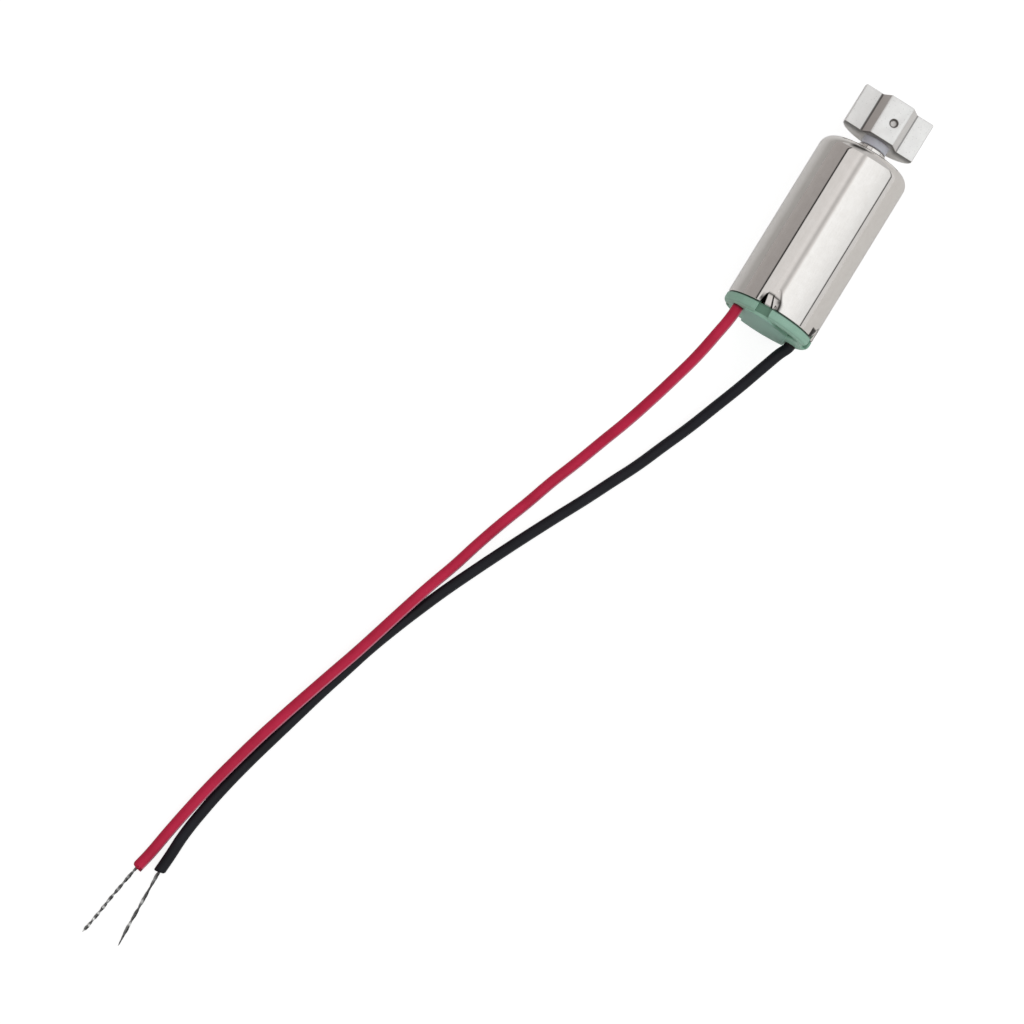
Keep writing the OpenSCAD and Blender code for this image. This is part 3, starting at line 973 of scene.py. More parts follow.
@dataclass
class Crimp:
    """A place where the can's rear edge is lanced and bent into the cap's notch.

    Positions across are from the crimp's middle, at the rim and at the root of its tongue.
    """

    length: float = 0.72
    blend_out: float = 1.45
    gap_edge: tuple[float, float] = (-0.5, -0.3)
    tongue_left: tuple[float, float] = (-0.2, -0.26)
    tongue_right: tuple[float, float] = (0.34, 0.1)
    slit_edge: tuple[float, float] = (0.42, 0.14)
    dent_edge: float = 0.8
    tongue_drop: float = 0.3
    dent_drop: float = 0.17
    dent_length: float = 1.25
    edge_bend: float = 0.32
    lip_drop: float = 0.1
    lip_length: float = 0.5
    lip_width: float = 0.14
    tongue_columns: int = 6
    gap_columns: int = 12
    slit_columns: int = 8
    reach_columns: int = 28

    def across(self, column: float, along: float, pitch: float) -> float:
        """Where a column of the can's grid lies across the crimp.

        Args:
            column: The column's number from the crimp's middle.
            along: Distance from the rim.
            pitch: Width of a column.

        Returns:
            The place across.
        """
        share = min(along / self.length, 1.0)
        anchors = [
            (-self.gap_columns - 6, (-self.gap_columns - 6) * pitch),
            (-self.gap_columns, between(*self.gap_edge, share)),
            (-self.tongue_columns, between(*self.tongue_left, share)),
            (self.tongue_columns, between(*self.tongue_right, share)),
            (self.slit_columns, between(*self.slit_edge, share)),
            (self.reach_columns, self.reach_columns * pitch),
        ]
        plain = column * pitch
        placed = plain
        for (low, at_low), (high, at_high) in zip(anchors, anchors[1:]):
            if low <= column <= high:
                placed = between(at_low, at_high, (column - low) / (high - low))
        return between(placed, plain, eased((along - self.length) / (self.blend_out - self.length)))

    def drop(self, column: float, across: float, along: float) -> float:
        """How far the sheet is pressed in at a place."""
        if -self.tongue_columns <= column <= self.tongue_columns and along <= self.length:
            return self.tongue_drop * (1 - along / self.length) ** 1.15
        if column >= self.slit_columns:
            edge = self._dent_edge_at(along)
            inner = between(*self.slit_edge, min(along / self.length, 1.0))
            fade = max(1 - along / self.dent_length, 0.0)
            depth = self.dent_drop * fade * (1 - eased((across - inner) / max(edge - inner, 0.2)))
            return depth if across < edge else 0.0
        if column <= -self.gap_columns:
            depth = self.lip_drop * max(1 - along / self.lip_length, 0.0)
            return depth * eased(1 + (across - self.gap_edge[0]) / self.lip_width)
        return 0.0

    def mark(self, column: float, across: float, along: float) -> float:
        """How dark the sheet is painted at a place, from 0 to 1: marks left by pressing, with painted shade
        along the creases, the dent's edge and the gap's edge.
        """
        edge = self._dent_edge_at(along)
        marks = [0.0]
        if abs(column) <= self.tongue_columns + 2:
            marks.append(0.85 * nearness(along - self.length, 0.05))
        if self.tongue_columns - 1 <= column <= self.tongue_columns and along < self.length:
            marks.append(0.85)
        if column == -self.tongue_columns and along <= self.length:
            marks.append(1.0)
        if column > self.slit_columns:
            width = between(0.095, 0.045, eased((along - 0.4) / 0.4))
            marks.append(nearness(across - edge + 0.03, width) * (1 - eased((along - 0.5) / 0.9)))
        if column > self.slit_columns and across < edge:
            marks.append(0.85 * nearness(along - 0.5, 0.16) * nearness(across - edge + 0.1, 0.13))
        if 0.05 < across < edge:
            marks.append(0.9 * nearness(along - 0.7 + (across - 0.1) * 0.17, 0.045))
        if -self.gap_columns - 3 <= column <= -self.gap_columns and along < 0.66:
            marks.append(1.0 if column == -self.gap_columns else 0.75 * nearness(along - 0.26, 0.2))
        return min(max(marks), 1.0)

    def _dent_edge_at(self, along: float) -> float:
        """Where the dent's edge lies across, at a distance from the rim."""
        return self.dent_edge - self.edge_bend * along**2


@dataclass
class Can:
    """The drawn and plated can: one sheet with a round shoulder, a neck and four crimps at its rear edge."""

    front_x: float = 4.3
    radius: float = 3.0
    wall: float = 0.3
    shoulder: float = 0.8
    neck_radius: float = 0.93
    neck_height: float = 0.53
    rim_round: float = 0.05
    bore: float = 0.757
    columns: int = 480
    pressed_and_shadowed_roll: float = 81.0
    pressed_and_shadowed_columns: int = 26
    pressed_and_shadowed_along: float = 0.27
    reflection_bend: float = 33.0
    reflection_slope: float = 0.45
    crimp: Crimp = field(default_factory=Crimp)

    def sheet(self) -> Blank:
        """Spins the outer skin, with rows for the crimps."""
        blank = Blank()
        neck_top = self.front_x + self.neck_height
        slot_end = CAN_REAR_X + self.crimp.length
        blend_end = CAN_REAR_X + self.crimp.blend_out
        blank.section(
            [
                Corner(CAN_REAR_X, self.radius - self.rim_round),
                Corner(CAN_REAR_X + 0.02, self.radius - 0.4 * self.rim_round),
                Corner(CAN_REAR_X + self.rim_round, self.radius),
                Corner(slot_end, self.radius),
                Corner(blend_end, self.radius),
                Corner(self.front_x, self.radius, self.shoulder, 24),
                Corner(self.front_x, self.neck_radius, 0.07, 4),
                Corner(neck_top, self.neck_radius, 0.09, 4),
                Corner(neck_top, self.bore + 0.02),
            ]
        )
        blank.split_rows(CAN_REAR_X + self.rim_round, slot_end, 16)
        blank.split_rows(slot_end, blend_end, 12)
        blank.split_rows(blend_end, self.front_x - self.shoulder, 10)
        blank.turn(self.columns)
        return blank

    def _columns_near(self, blank: Blank, centre: float) -> dict[bmesh.types.BMVert, int]:
        """The skin's vertices round a crimp, each with its column from the crimp's middle."""
        found = {}
        for vert in blank.bm.verts:
            if vert.co.x <= CAN_REAR_X + self.crimp.blend_out + SAME_PLACE:
                column = round(((roll_of(vert) - centre + 180) % 360 - 180) * self.columns / 360)
                if abs(column) <= self.crimp.reach_columns:
                    found[vert] = column
        return found

    def _is_cut(self, face: bmesh.types.BMFace, place: dict[bmesh.types.BMVert, int]) -> bool:
        """Whether a face lies in the gap or the slit beside a crimp's tongue."""
        columns = [place.get(v) for v in face.verts]
        if None in columns or max(v.co.x for v in face.verts) > CAN_REAR_X + self.crimp.length + SAME_PLACE:
            return False
        low, high = min(columns), max(columns)
        in_gap = low >= -self.crimp.gap_columns and high <= -self.crimp.tongue_columns
        return in_gap or (low >= self.crimp.tongue_columns and high <= self.crimp.slit_columns)

    def lance(self, blank: Blank) -> None:
        """Shears the slots, presses the tongues and dents, and paints the sheet darker: marks left by
        pressing with painted shade at the crimps, and the shoulder's painted dark reflection.
        """
        mark = blank.bm.verts.layers.float.new("mark")
        pitch = self.radius * TURN / self.columns
        spent, moves = [], []
        for centre in CRIMP_ROLLS:
            place = self._columns_near(blank, centre)
            spent += [face for face in blank.bm.faces if self._is_cut(face, place)]
            for vert, column in place.items():
                along = vert.co.x - CAN_REAR_X
                across = self.crimp.across(column, along, pitch)
                # Marks left by pressing, with painted shade along the crimp's creases and edges.
                vert[mark] = self.crimp.mark(column, across, along)
                # A painted shadow with marks left by pressing: a dark patch beside the gap of one crimp.
                if centre == self.pressed_and_shadowed_roll and -self.pressed_and_shadowed_columns <= column <= -self.crimp.gap_columns:
                    vert[mark] = max(vert[mark], eased(4.0 - abs(along - self.pressed_and_shadowed_along) / 0.08))
                radius = reach_of(vert) - self.crimp.drop(column, across, along)
                moves.append((vert, math.radians(centre) + across / self.radius, radius))
        # A painted dark reflection across the shoulder.
        self.scuff_and_painted_reflection(blank, mark)
        for vert, roll, radius in moves:
            vert.co.y, vert.co.z = -radius * math.sin(roll), AXIS_Z + radius * math.cos(roll)
        bmesh.ops.delete(blank.bm, geom=spent, context="FACES")

    def scuff_and_painted_reflection(self, blank: Blank, mark: bmesh.types.BMLayerItem) -> None:
        """Paints a dark reflection on the rounded shoulder as a stroke, thick at one end and fading at both.
        """
        for vert in blank.bm.verts:
            ahead = vert.co.x - self.front_x + self.shoulder
            bend = math.degrees(math.atan2(ahead, reach_of(vert) - self.radius + self.shoulder))
            roll = roll_of(vert)
            if 5.0 < bend < 85.0 and vert.co.x < self.front_x and -30.0 < roll < 12.0:
                thick = between(9.0, 3.5, eased((roll + 8.0) / 6.0))
                ends = eased((roll + 27.0) / 8.0) * eased((8.0 - roll) / 12.0)
                vert[mark] = nearness(bend - self.reflection_bend - (roll + 22.0) * self.reflection_slope, thick) * ends

    def _faces_in(self, blank: Blank) -> bool:
        """Whether the skin's flat faces look inwards."""
        outwards = 0.0
        for face in blank.bm.faces:
            if face.normal.x**2 > 0.9:
                outwards += face.normal.x * (face.calc_center_median().x - self.front_x + 1)
        return outwards < 0

    def build(self, dresser: Dresser) -> None:
        """Makes and dresses the can."""
        blank = self.sheet()
        self.lance(blank)
        blank.face_out()
        if self._faces_in(blank):
            bmesh.ops.reverse_faces(blank.bm, faces=blank.bm.faces[:])
        bmesh.ops.solidify(blank.bm, geom=blank.bm.faces[:], thickness=self.wall)
        for vert in blank.bm.verts:
            reach = Vector((0, vert.co.y, vert.co.z - AXIS_Z))
            if vert.co.x > self.front_x - 0.5 and reach.length < self.bore:
                reach = reach.normalized() * self.bore
                vert.co.y, vert.co.z = reach.y, reach.z + AXIS_Z
        blank.clean()
        dresser.piece(blank.piece("can_shell", 40.0), "nickel_can", Body.FIXED, "can")


# ---------------------------------------------------------------- end cap


@dataclass
class EndCap:
    """The moulded cap: flange, raised plate, recess, spigot, crimp notches and lead holes."""

    thick: float = 0.68
    radius: float = 3.0
    edge_round: float = 0.34
    gap: tuple[float, float] = (0.07, 0.12)
    plate_half: float = 1.5
    plate_height: float = 0.12
    plate_cut: float = 1.98
    plate_cut_roll: float = 45.0
    recess_radius: float = 2.5
    recess_depth: float = 0.15
    recess_rolls: tuple[float, float] = (8.0, 64.0)
    spigot: float = 1.0
    spigot_radii: tuple[float, float] = (2.69, 2.35)
    notch_depth: float = 0.35
    notch_width: float = 0.93
    notch_chamfer: float = 0.12
    lead_ring: float = 2.3
    lead_roll: float = -57.0
    hole_radius: float = 0.38

    def body(self) -> Blank:
        """Flange and spigot in one turned solid, with a shadow gap next to the can."""
        outer, inner = self.spigot_radii
        wide, deep = self.gap
        blank = Blank()
        blank.section(
            [
                Corner(CAP_REAR_X, 0.0),
                Corner(CAP_REAR_X, self.radius, self.edge_round, 8),
                Corner(CAN_REAR_X - wide, self.radius, 0.03, 2),
                Corner(CAN_REAR_X - wide, self.radius - deep),
                Corner(CAN_REAR_X, self.radius - deep),
                Corner(CAN_REAR_X, outer),
                Corner(CAN_REAR_X + self.spigot, outer, 0.05, 2),
                Corner(CAN_REAR_X + self.spigot, inner, 0.05, 2),
                Corner(CAN_REAR_X, inner),
                Corner(CAN_REAR_X, 0.0),
            ]
        )
        blank.turn(160)
        return blank

    def cuts(self) -> Blank:
        """Notches, their slots through the spigot, and the lead holes."""
        tools = Blank()
        floor = self.radius - self.notch_depth
        for roll in CRIMP_ROLLS:
            tools.strip(
                [
                    (CAN_REAR_X, floor + 0.6),
                    (CAN_REAR_X, floor),
                    (CAP_REAR_X + self.notch_chamfer, floor),
                    (CAP_REAR_X - 0.2, floor - self.notch_chamfer - 0.2),
                    (CAP_REAR_X - 0.2, floor + 0.6),
                ],
                self.notch_width,
                roll,
            )
            tools.bar((CAN_REAR_X + 0.549, 0, AXIS_Z + 2.75), (1.1, self.notch_width - 0.004, 1.0), roll)
        for roll in (self.lead_roll, self.lead_roll + 180):
            centre = (CAP_REAR_X + self.thick / 2, 0, AXIS_Z + self.lead_ring)
            tools.lying_rod(centre, self.hole_radius, self.thick + 0.4, roll=roll)
            tools.bar((CAN_REAR_X + 0.551, 0, AXIS_Z + 2.75), (1.1, 0.9, 1.0), roll)
        return tools

    def slab(
        self, radius: float, cuts: Sequence[tuple[float, float]], span: tuple[float, float], lip: float
    ) -> Blank:
        """A flat slab across the shaft, cut from a disc.

        Args:
            radius: Radius of the disc.
            cuts: For each straight cut the roll that it faces and its distance from the axis.
            span: Its two stations along the shaft.
            lip: Rounding of its rear edges.

        Returns:
            The slab.
        """
        blank = Blank()
        bmesh.ops.create_circle(blank.bm, cap_ends=True, segments=160, radius=radius)
        for roll, distance in cuts:
            facing = Vector((-math.sin(math.radians(roll)), math.cos(math.radians(roll)), 0))
            bmesh.ops.bisect_plane(
                blank.bm,
                geom=blank.bm.verts[:] + blank.bm.edges[:] + blank.bm.faces[:],
                plane_co=facing * distance,
                plane_no=facing,
                clear_outer=True,
            )
        depth = span[0] - span[1]
        blank.thicken(blank.bm.faces[:], (0, 0, depth))
        blank.clean()
        if lip:
            blank.round_edges(lip, 3, 50.0, only=lambda e: all(v.co.z < depth / 2 for v in e.verts))
        # Local X, Y and Z become +Y, +Z and +X.
        stand = Matrix(((0, 0, 1), (1, 0, 0), (0, 1, 0)))
        bmesh.ops.transform(blank.bm, matrix=stand.to_4x4(), verts=blank.bm.verts[:])
        bmesh.ops.translate(blank.bm, vec=(span[1], 0, AXIS_Z), verts=blank.bm.verts[:])
        blank.clean()
        return blank

    def build(self, dresser: Dresser) -> None:
        """Makes and dresses the cap."""
        first, last = self.recess_rolls
        recess = self.slab(
            self.recess_radius,
            [(first - 90, 0.0), (last + 90, 0.0), (self.plate_cut_roll + 180, -1.6)],
            (CAP_REAR_X - 0.3, CAP_REAR_X + self.recess_depth),
            0.0,
        )
        blank = Blank.carved(Blank.carved(self.body(), self.cuts()), recess)
        blank.round_edges(0.02, 2, 45.0)
        plate = self.slab(
            self.radius - self.edge_round,
            [(90, self.plate_half), (-90, self.plate_half), (self.plate_cut_roll, self.plate_cut)],
            (CAP_REAR_X - self.plate_height, CAP_REAR_X + self.recess_depth + 0.1),
            0.04,
        )
        blank.take_in(plate)
        dresser.piece(blank.piece("cap_moulding", 30.0), "green_moulding", Body.FIXED, "end_cap")


# ---------------------------------------------------------------- rotor


@dataclass
class Counterweight:
    """The sintered half disc with flat wings and a tapered boss, punched onto the shaft."""

    length: float = 2.7
    radius: float = 2.45
    wing: float = 0.4
    boss_height: float = 1.5
    boss_top: float = 1.6
    boss_base: float = 2.5
    bore: float = 0.405
    punch_radii: tuple[float, float] = (0.16, 0.3)
    punch_depth: float = 0.28
    punch_offset: tuple[float, float] = (-0.12, -0.17)
    edge_round: float = 0.09

    def build(self, dresser: Dresser) -> None:
        """Makes and dresses the counterweight."""
        blank = Blank()
        side = math.sqrt(self.radius**2 - self.wing**2)
        start = blank.bm.verts.new((0, side, self.wing))
        sweep = TURN / 2 + 2 * math.asin(self.wing / self.radius)
        bmesh.ops.spin(
            blank.bm, geom=[start], cent=(0, 0, 0), axis=(1, 0, 0), angle=-sweep, steps=72, use_merge=False
        )
        end = min(blank.bm.verts, key=lambda v: (v.co - Vector((0, -side, self.wing))).length)
        foot, top = (self.boss_base / 2, self.wing), (self.boss_top / 2, self.boss_height)
        boss = ((-foot[0], foot[1]), (-top[0], top[1]), top, foot)
        corners = [end, *(blank.bm.verts.new((0, *corner)) for corner in boss), start]
        for first, second in zip(corners, corners[1:]):
            blank.bm.edges.new((first, second))
        bmesh.ops.contextual_create(blank.bm, geom=blank.bm.edges[:])
        blank.thicken(blank.bm.faces[:], (self.length, 0, 0))
        bmesh.ops.translate(blank.bm, vec=(WEIGHT_REAR_X, 0, AXIS_Z), verts=blank.bm.verts[:])
        blank.clean()
        blank.round_edges(self.edge_round, 4, 18.0, only=self._outside_corner)
        tools = Blank()
        middle_x = WEIGHT_REAR_X + self.length / 2
        tools.lying_rod((middle_x, 0, AXIS_Z), self.bore, self.length + 1, sides=64)
        back, across = self.punch_offset
        punch_z = AXIS_Z + self.boss_height - self.punch_depth / 2 + 0.01
        tools.rod((middle_x + back, across, punch_z), self.punch_radii, self.punch_depth + 0.02, sides=40)
        blank = Blank.carved(blank, tools)
        blank.round_edges(0.025, 2, 50.0)
        blank.roll(blank.bm.verts[:], WEIGHT_LEAN)
        dresser.piece(blank.piece("weight_body", 32.0), "tungsten", Body.ROTOR, "counterweight")

    def _outside_corner(self, edge: bmesh.types.BMEdge) -> bool:
        """Whether an edge is not in the groove between boss and wing."""
        groove = Vector((self.boss_base / 2, AXIS_Z + self.wing))
        return not all((Vector((abs(v.co.y), v.co.z)) - groove).length < SAME_PLACE for v in edge.verts)


@dataclass
class Spindle:
    """The shaft with ground ends and the spacer pressed on it."""

    shaft: tuple[float, float] = (-7.0, 8.05)
    shaft_radius: float = 0.4
    spacer: tuple[float, float] = (4.87, 5.39)
    spacer_radius: float = 0.88
    chamfer: float = 0.06

    def build(self, dresser: Dresser) -> None:
        """Makes and dresses the shaft and the spacer."""
        rear, front = self.shaft
        rod = Blank()
        rod.section(
            [
                Corner(rear, 0.0),
                Corner(rear, self.shaft_radius, self.chamfer, 2),
                Corner(front, self.shaft_radius, self.chamfer, 2),
                Corner(front, 0.0),
            ]
        )
        rod.turn(64)
        low, high = self.spacer
        collar = Blank()
        collar.section(
            [
                Corner(low, self.shaft_radius + 0.005),
                Corner(low, self.spacer_radius, 0.07, 4),
                Corner(high, self.spacer_radius, 0.05, 3),
                Corner(high, self.shaft_radius + 0.005),
            ],
            closed=True,
        )
        collar.turn(96)
        dresser.piece(rod.piece("ground_shaft"), "shaft_steel", Body.ROTOR, "shaft")
        dresser.piece(collar.piece("spacer_collar"), "spacer_moulding", Body.ROTOR, "spacer")


# ---------------------------------------------------------------- leads

RED_ROUTE: list[Point] = [
    (-8.9, 1.98, 4.25), (-10.0, 2.15, 4.2), (-11.9, 2.5, 3.95), (-13.75, 3.0, 3.4), (-15.55, 3.55, 2.7),
    (-17.3, 4.15, 1.9), (-19.1, 4.85, 1.1), (-20.85, 5.5, 0.55), (-22.7, 6.2, 0.35), (-24.55, 6.8, 0.35),
    (-26.4, 7.45, 0.35), (-28.3, 8.05, 0.4), (-30.25, 8.6, 0.5), (-32.15, 9.2, 0.75), (-34.05, 9.75, 0.95),
    (-36.0, 10.3, 1.0), (-37.9, 10.85, 1.0), (-39.8, 11.45, 1.0), (-41.7, 12.05, 0.95), (-43.65, 12.65, 0.9),
    (-45.55, 13.2, 0.9), (-47.5, 13.7, 0.85), (-49.4, 14.15, 0.8), (-51.35, 14.55, 0.65), (-53.3, 14.9, 0.45),
    (-54.9, 15.15, 0.35), (-56.1, 15.4, 0.35),
]
BLACK_ROUTE: list[Point] = [
    (-8.8, -1.64, 1.75), (-9.85, -1.28, 1.65), (-11.7, -0.65, 1.3), (-13.55, 0.05, 0.85), (-15.4, 0.75, 0.5),
    (-17.2, 1.5, 0.35), (-19.05, 2.25, 0.35), (-20.85, 3.1, 0.35), (-22.65, 3.95, 0.35), (-24.45, 4.85, 0.35),
    (-26.3, 5.75, 0.35), (-28.1, 6.6, 0.35), (-29.95, 7.45, 0.35), (-31.75, 8.25, 0.35), (-33.6, 9.0, 0.35),
    (-35.45, 9.7, 0.35), (-37.35, 10.35, 0.35), (-39.25, 10.9, 0.35), (-41.15, 11.45, 0.35),
    (-43.05, 11.95, 0.35), (-44.95, 12.45, 0.35), (-46.9, 12.95, 0.35), (-48.9, 13.4, 0.35),
    (-50.85, 13.75, 0.35), (-52.85, 14.0, 0.35), (-54.5, 14.05, 0.35), (-55.6, 14.1, 0.35),
]
RED_STRANDS: list[Point] = [
    (-57.3, 15.6, 0.28), (-58.6, 15.8, 0.2), (-59.8, 15.95, 0.14), (-61.1, 16.15, 0.12),
]
BLACK_STRANDS: list[Point] = [
    (-56.9, 14.05, 0.27), (-58.2, 14.0, 0.2), (-59.5, 13.95, 0.14), (-60.7, 13.85, 0.12),
]


def rightwards(direction: Vector) -> Vector:
    """The level direction to the right of a line's travel, seen from above."""
    return direction.cross(UP).normalized()


class Way:
    """A smooth line through points."""

    def __init__(self, points: Sequence[Point], steps: int = 6) -> None:
        """Rounds the line.

        Args:
            points: The points that it passes through.
            steps: Pieces between two points.
        """
        curve = bpy.data.curves.new("way", "CURVE")
        curve.dimensions, curve.resolution_u = "3D", steps
        spline = curve.splines.new("BEZIER")
        spline.bezier_points.add(len(points) - 1)
        for knot, point in zip(spline.bezier_points, points):
            knot.co = point
            knot.handle_left_type = knot.handle_right_type = "AUTO"
        drawn = Blank.of_curve(curve)
        self.points = [v.co.copy() for v in drawn.bm.verts]
        drawn.bm.free()
        self._stations = [0.0]
        self._tree = KDTree(len(self.points))
        for index, knot in enumerate(self.points):
            self._tree.insert(knot, index)
            if index:
                self._stations.append(self._stations[-1] + (knot - self.points[index - 1]).length)
        self._tree.balance()
        self.length = self._stations[-1]

    def at(self, distance: float) -> tuple[Vector, Vector]:
        """Point and direction at a distance along the line."""
        for first, second in zip(self.points, self.points[1:]):
            step = (second - first).length
            if distance <= step or second is self.points[-1]:
                share = min(distance / max(step, 1e-9), 1.0)
                return first + (second - first) * share, (second - first).normalized()
            distance -= step
        raise ValueError("a line needs two points")

    def nearest(self, point: Vector) -> tuple[float, float]:
        """How far along the line a point lies, and how far to its right."""
        knot, index, _ = self._tree.find(point)
        ahead = self.points[min(index + 1, len(self.points) - 1)] - self.points[max(index - 1, 0)]
        reach = (point - knot).dot(ahead.normalized())
        along = self._stations[index] + reach
        offset = point - knot - ahead.normalized() * reach
        return along, offset.dot(rightwards(self.at(max(min(along, self.length), 0.0))[1]))


def piped(
    name: str, lines: Iterable[tuple[Sequence[Vector], float, Callable[[float], float]]], sides: int
) -> Blank:
    """Sweeps round tubes along lines.

    Args:
        name: Name of the work.
        lines: For each tube its points, its radius, and its share of that radius along it, from 0 to 1.
        sides: Sides of a quarter of a tube.

    Returns:
        The tubes as one blank with closed ends.
    """
    curve = bpy.data.curves.new(name, "CURVE")
    curve.dimensions, curve.bevel_depth, curve.bevel_resolution = "3D", 1.0, sides
    curve.use_fill_caps = True
    curve.twist_mode = "MINIMUM"
    for points, radius, taper in lines:
        spline = curve.splines.new("POLY")
        spline.points.add(len(points) - 1)
        for index, (knot, point) in enumerate(zip(spline.points, points)):
            knot.co = (*point, 1.0)
            knot.radius = radius * taper(index / (len(points) - 1))
    blank = Blank.of_curve(curve)
    blank.clean()
    return blank


@dataclass
class Lead:
    """One lead: its insulation, cut on the slant at its end, and the twisted strands that come out of it."""

    name: str
    exit_yz: tuple[float, float]
    route: list[Point]
    bare: list[Point]
    lay: float
    cut_slant: float
    taper_from: float
    inner_x: float = -7.56
    rear_x: float = -8.1
    radius: float = 0.35
    strand_radius: float = 0.031
    bundle_reach: float = 0.047
    wire_reach: float = 0.036
    bundles: tuple[int, ...] = (4, 3)
    strand_steps: int = 150
    length: float = 50.6
    end_round: float = 0.14
    glints: tuple[float, float, float] = (1.68, 0.47, 3.0)
    shine: tuple[float, float] = (0.14, 1.19)

    def insulation(self) -> Blank:
        """The tube, with its far end cut on the slant, rounded and a little sunk."""
        way = Way([(self.inner_x, *self.exit_yz), (self.rear_x, *self.exit_yz), *self.route])
        last, direction = way.points[-1], (way.points[-1] - way.points[-2]).normalized()
        line = [*way.points, last + direction * 0.3]
        blank = piped(self.name, [(line, self.radius, lambda share: 1.0)], 6)
        facing = (direction + rightwards(direction) * math.tan(math.radians(self.cut_slant))).normalized()
        near = [v for v in blank.bm.verts if (v.co - last).length < 1.2]
        reach = {e for v in near for e in v.link_edges} | {f for v in near for f in v.link_faces}
        bmesh.ops.bisect_plane(
            blank.bm, geom=near + list(reach), plane_co=last, plane_no=facing, clear_outer=True, dist=WELD
        )

        def at_cut(within: float) -> list[bmesh.types.BMFace]:
            """The faces near the cut's middle."""
            return [f for f in blank.bm.faces if (f.calc_center_median() - last).length < within]

        loose = [f for f in at_cut(0.4) if abs(f.normal.dot(facing)) > 0.99]
        bmesh.ops.delete(blank.bm, geom=loose, context="FACES_ONLY")
        rim = [e for e in blank.bm.edges if e.is_boundary]
        end = bmesh.ops.contextual_create(blank.bm, geom=rim)["faces"]
        blank.face_out()
        blank.bevel([e for f in end for e in f.edges], self.end_round, 5, affect="EDGES")
        end = [f for f in at_cut(0.2) if f.normal.dot(facing) > 0.999]
        bmesh.ops.inset_region(blank.bm, faces=end, thickness=0.03)
        bmesh.ops.inset_region(blank.bm, faces=end, thickness=0.01, depth=-0.01)
        sunk = list({v for f in end for v in f.verts})
        bmesh.ops.translate(blank.bm, vec=-direction * 0.02, verts=sunk)
        # Painted highlight along one edge of the lead.
        seam = blank.bm.verts.layers.float.new("seam")
        for vert in blank.bm.verts:
            aside = way.nearest(vert.co)[1] / self.radius
            vert[seam] = eased((-aside - 0.86) / 0.1)
        return blank

    def _wire(self, way: Way, bundle: int, wire: int) -> list[Vector]:
        """One wire's points: it winds in its bundle, and the bundles wind round each other."""
        points = []
        wires = self.bundles[bundle]
        for step in range(self.strand_steps + 1):
            along = way.length * step / self.strand_steps * (1 - 0.012 * wire)
            centre, direction = way.at(along)
            side = rightwards(direction)
            drawn_in = eased((along / way.length - self.taper_from) / (1 - self.taper_from))
            pull = between(1.0, 0.35, drawn_in)
            twist = TURN * (along / self.lay + bundle / 2) + 0.5 * math.sin(along * 1.7)
            own = TURN * (along / self.lay * 1.6 + wire / wires)
            out, fine = self.bundle_reach * pull, self.wire_reach * pull
            point = centre + side * (out * math.cos(twist) + fine * math.cos(own))
            point += side.cross(direction) * (out * math.sin(twist) + fine * math.sin(own))
            point.z = max(point.z, self.strand_radius + 0.004)
            points.append(point)
        return points

    def strands(self) -> Blank:
        """Two bundles of fine strands twisted round each other, with glints painted along them."""
        last = Vector(self.route[-1])
        start = Vector(self.route[-2]).lerp(last, 0.35)
        way = Way([tuple(start), self.route[-1], *self.bare], 8)
        wires = [(bundle, wire) for bundle, count in enumerate(self.bundles) for wire in range(count)]
        blank = piped(
            self.name + "_strands",
            [(self._wire(way, *wire), self.strand_radius, self._pointed) for wire in wires],
            1,
        )
        # Painted glints at the turns of the twist, with painted light brighter on one side of the strands.
        shine = blank.bm.verts.layers.float.new("shine")
        first, apart, sharpness = self.glints
        for vert in blank.bm.verts:
            along, aside = way.nearest(vert.co)
            past = along - (last - start).length
            glint = (0.5 + 0.5 * math.cos(TURN * (past - first) / apart)) ** sharpness
            strength = 0.25 + 0.75 * eased(past / (way.length - 1.0))
            base = self.shine[0] + 2.0 * aside
            vert[shine] = min(max(base + (self.shine[1] - base) * glint * strength, 0.0), 1.0)
        return blank

    @staticmethod
    def _pointed(share: float) -> float:
        """A wire's share of its radius along it: it thins at its very end."""
        return 1.0 - 0.45 * eased((share - 0.97) / 0.03)

    def build(self, dresser: Dresser) -> None:
        skin_name, node = f"{self.name}_insulation", f"{self.name}_lead"
        skin = dresser.piece(self.insulation().piece(skin_name, 40.0), skin_name, Body.FIXED, node)
        bare = self.strands().piece(f"{self.name}_bare_strands", 60.0)
        wires = dresser.piece(bare, "tinned_copper", Body.FIXED, f"{node}_strands")
        2 * self.radius * MM


# ---------------------------------------------------------------- studio


@dataclass
class Viewpoint:
    """The camera, nearly overhead."""

    target: Point = (-25.52, 7.34, 0.0)
    azimuth: float = -58.47
    elevation: float = 83.4
    distance: float = 270.0
    lens: float = 154.3
    sensor: float = 36.0

    def build(self) -> None:
        """Makes the scene's camera."""
        data = bpy.data.cameras.new("camera")
        data.lens, data.sensor_width = self.lens, self.sensor
        data.clip_start, data.clip_end = 0.01, 20.0
        camera = bpy.data.objects.new("camera", data)
        around, above = math.radians(self.azimuth), math.radians(self.elevation)
        level = Vector((math.sin(around), -math.cos(around), 0.0))
        back = level * math.cos(above) + UP * math.sin(above)
        camera.location = (Vector(self.target) + back * self.distance) * MM
        camera.rotation_euler = (TURN / 4 - above, 0.0, around)
        bpy.context.scene.collection.objects.link(camera)
        bpy.context.scene.camera = camera


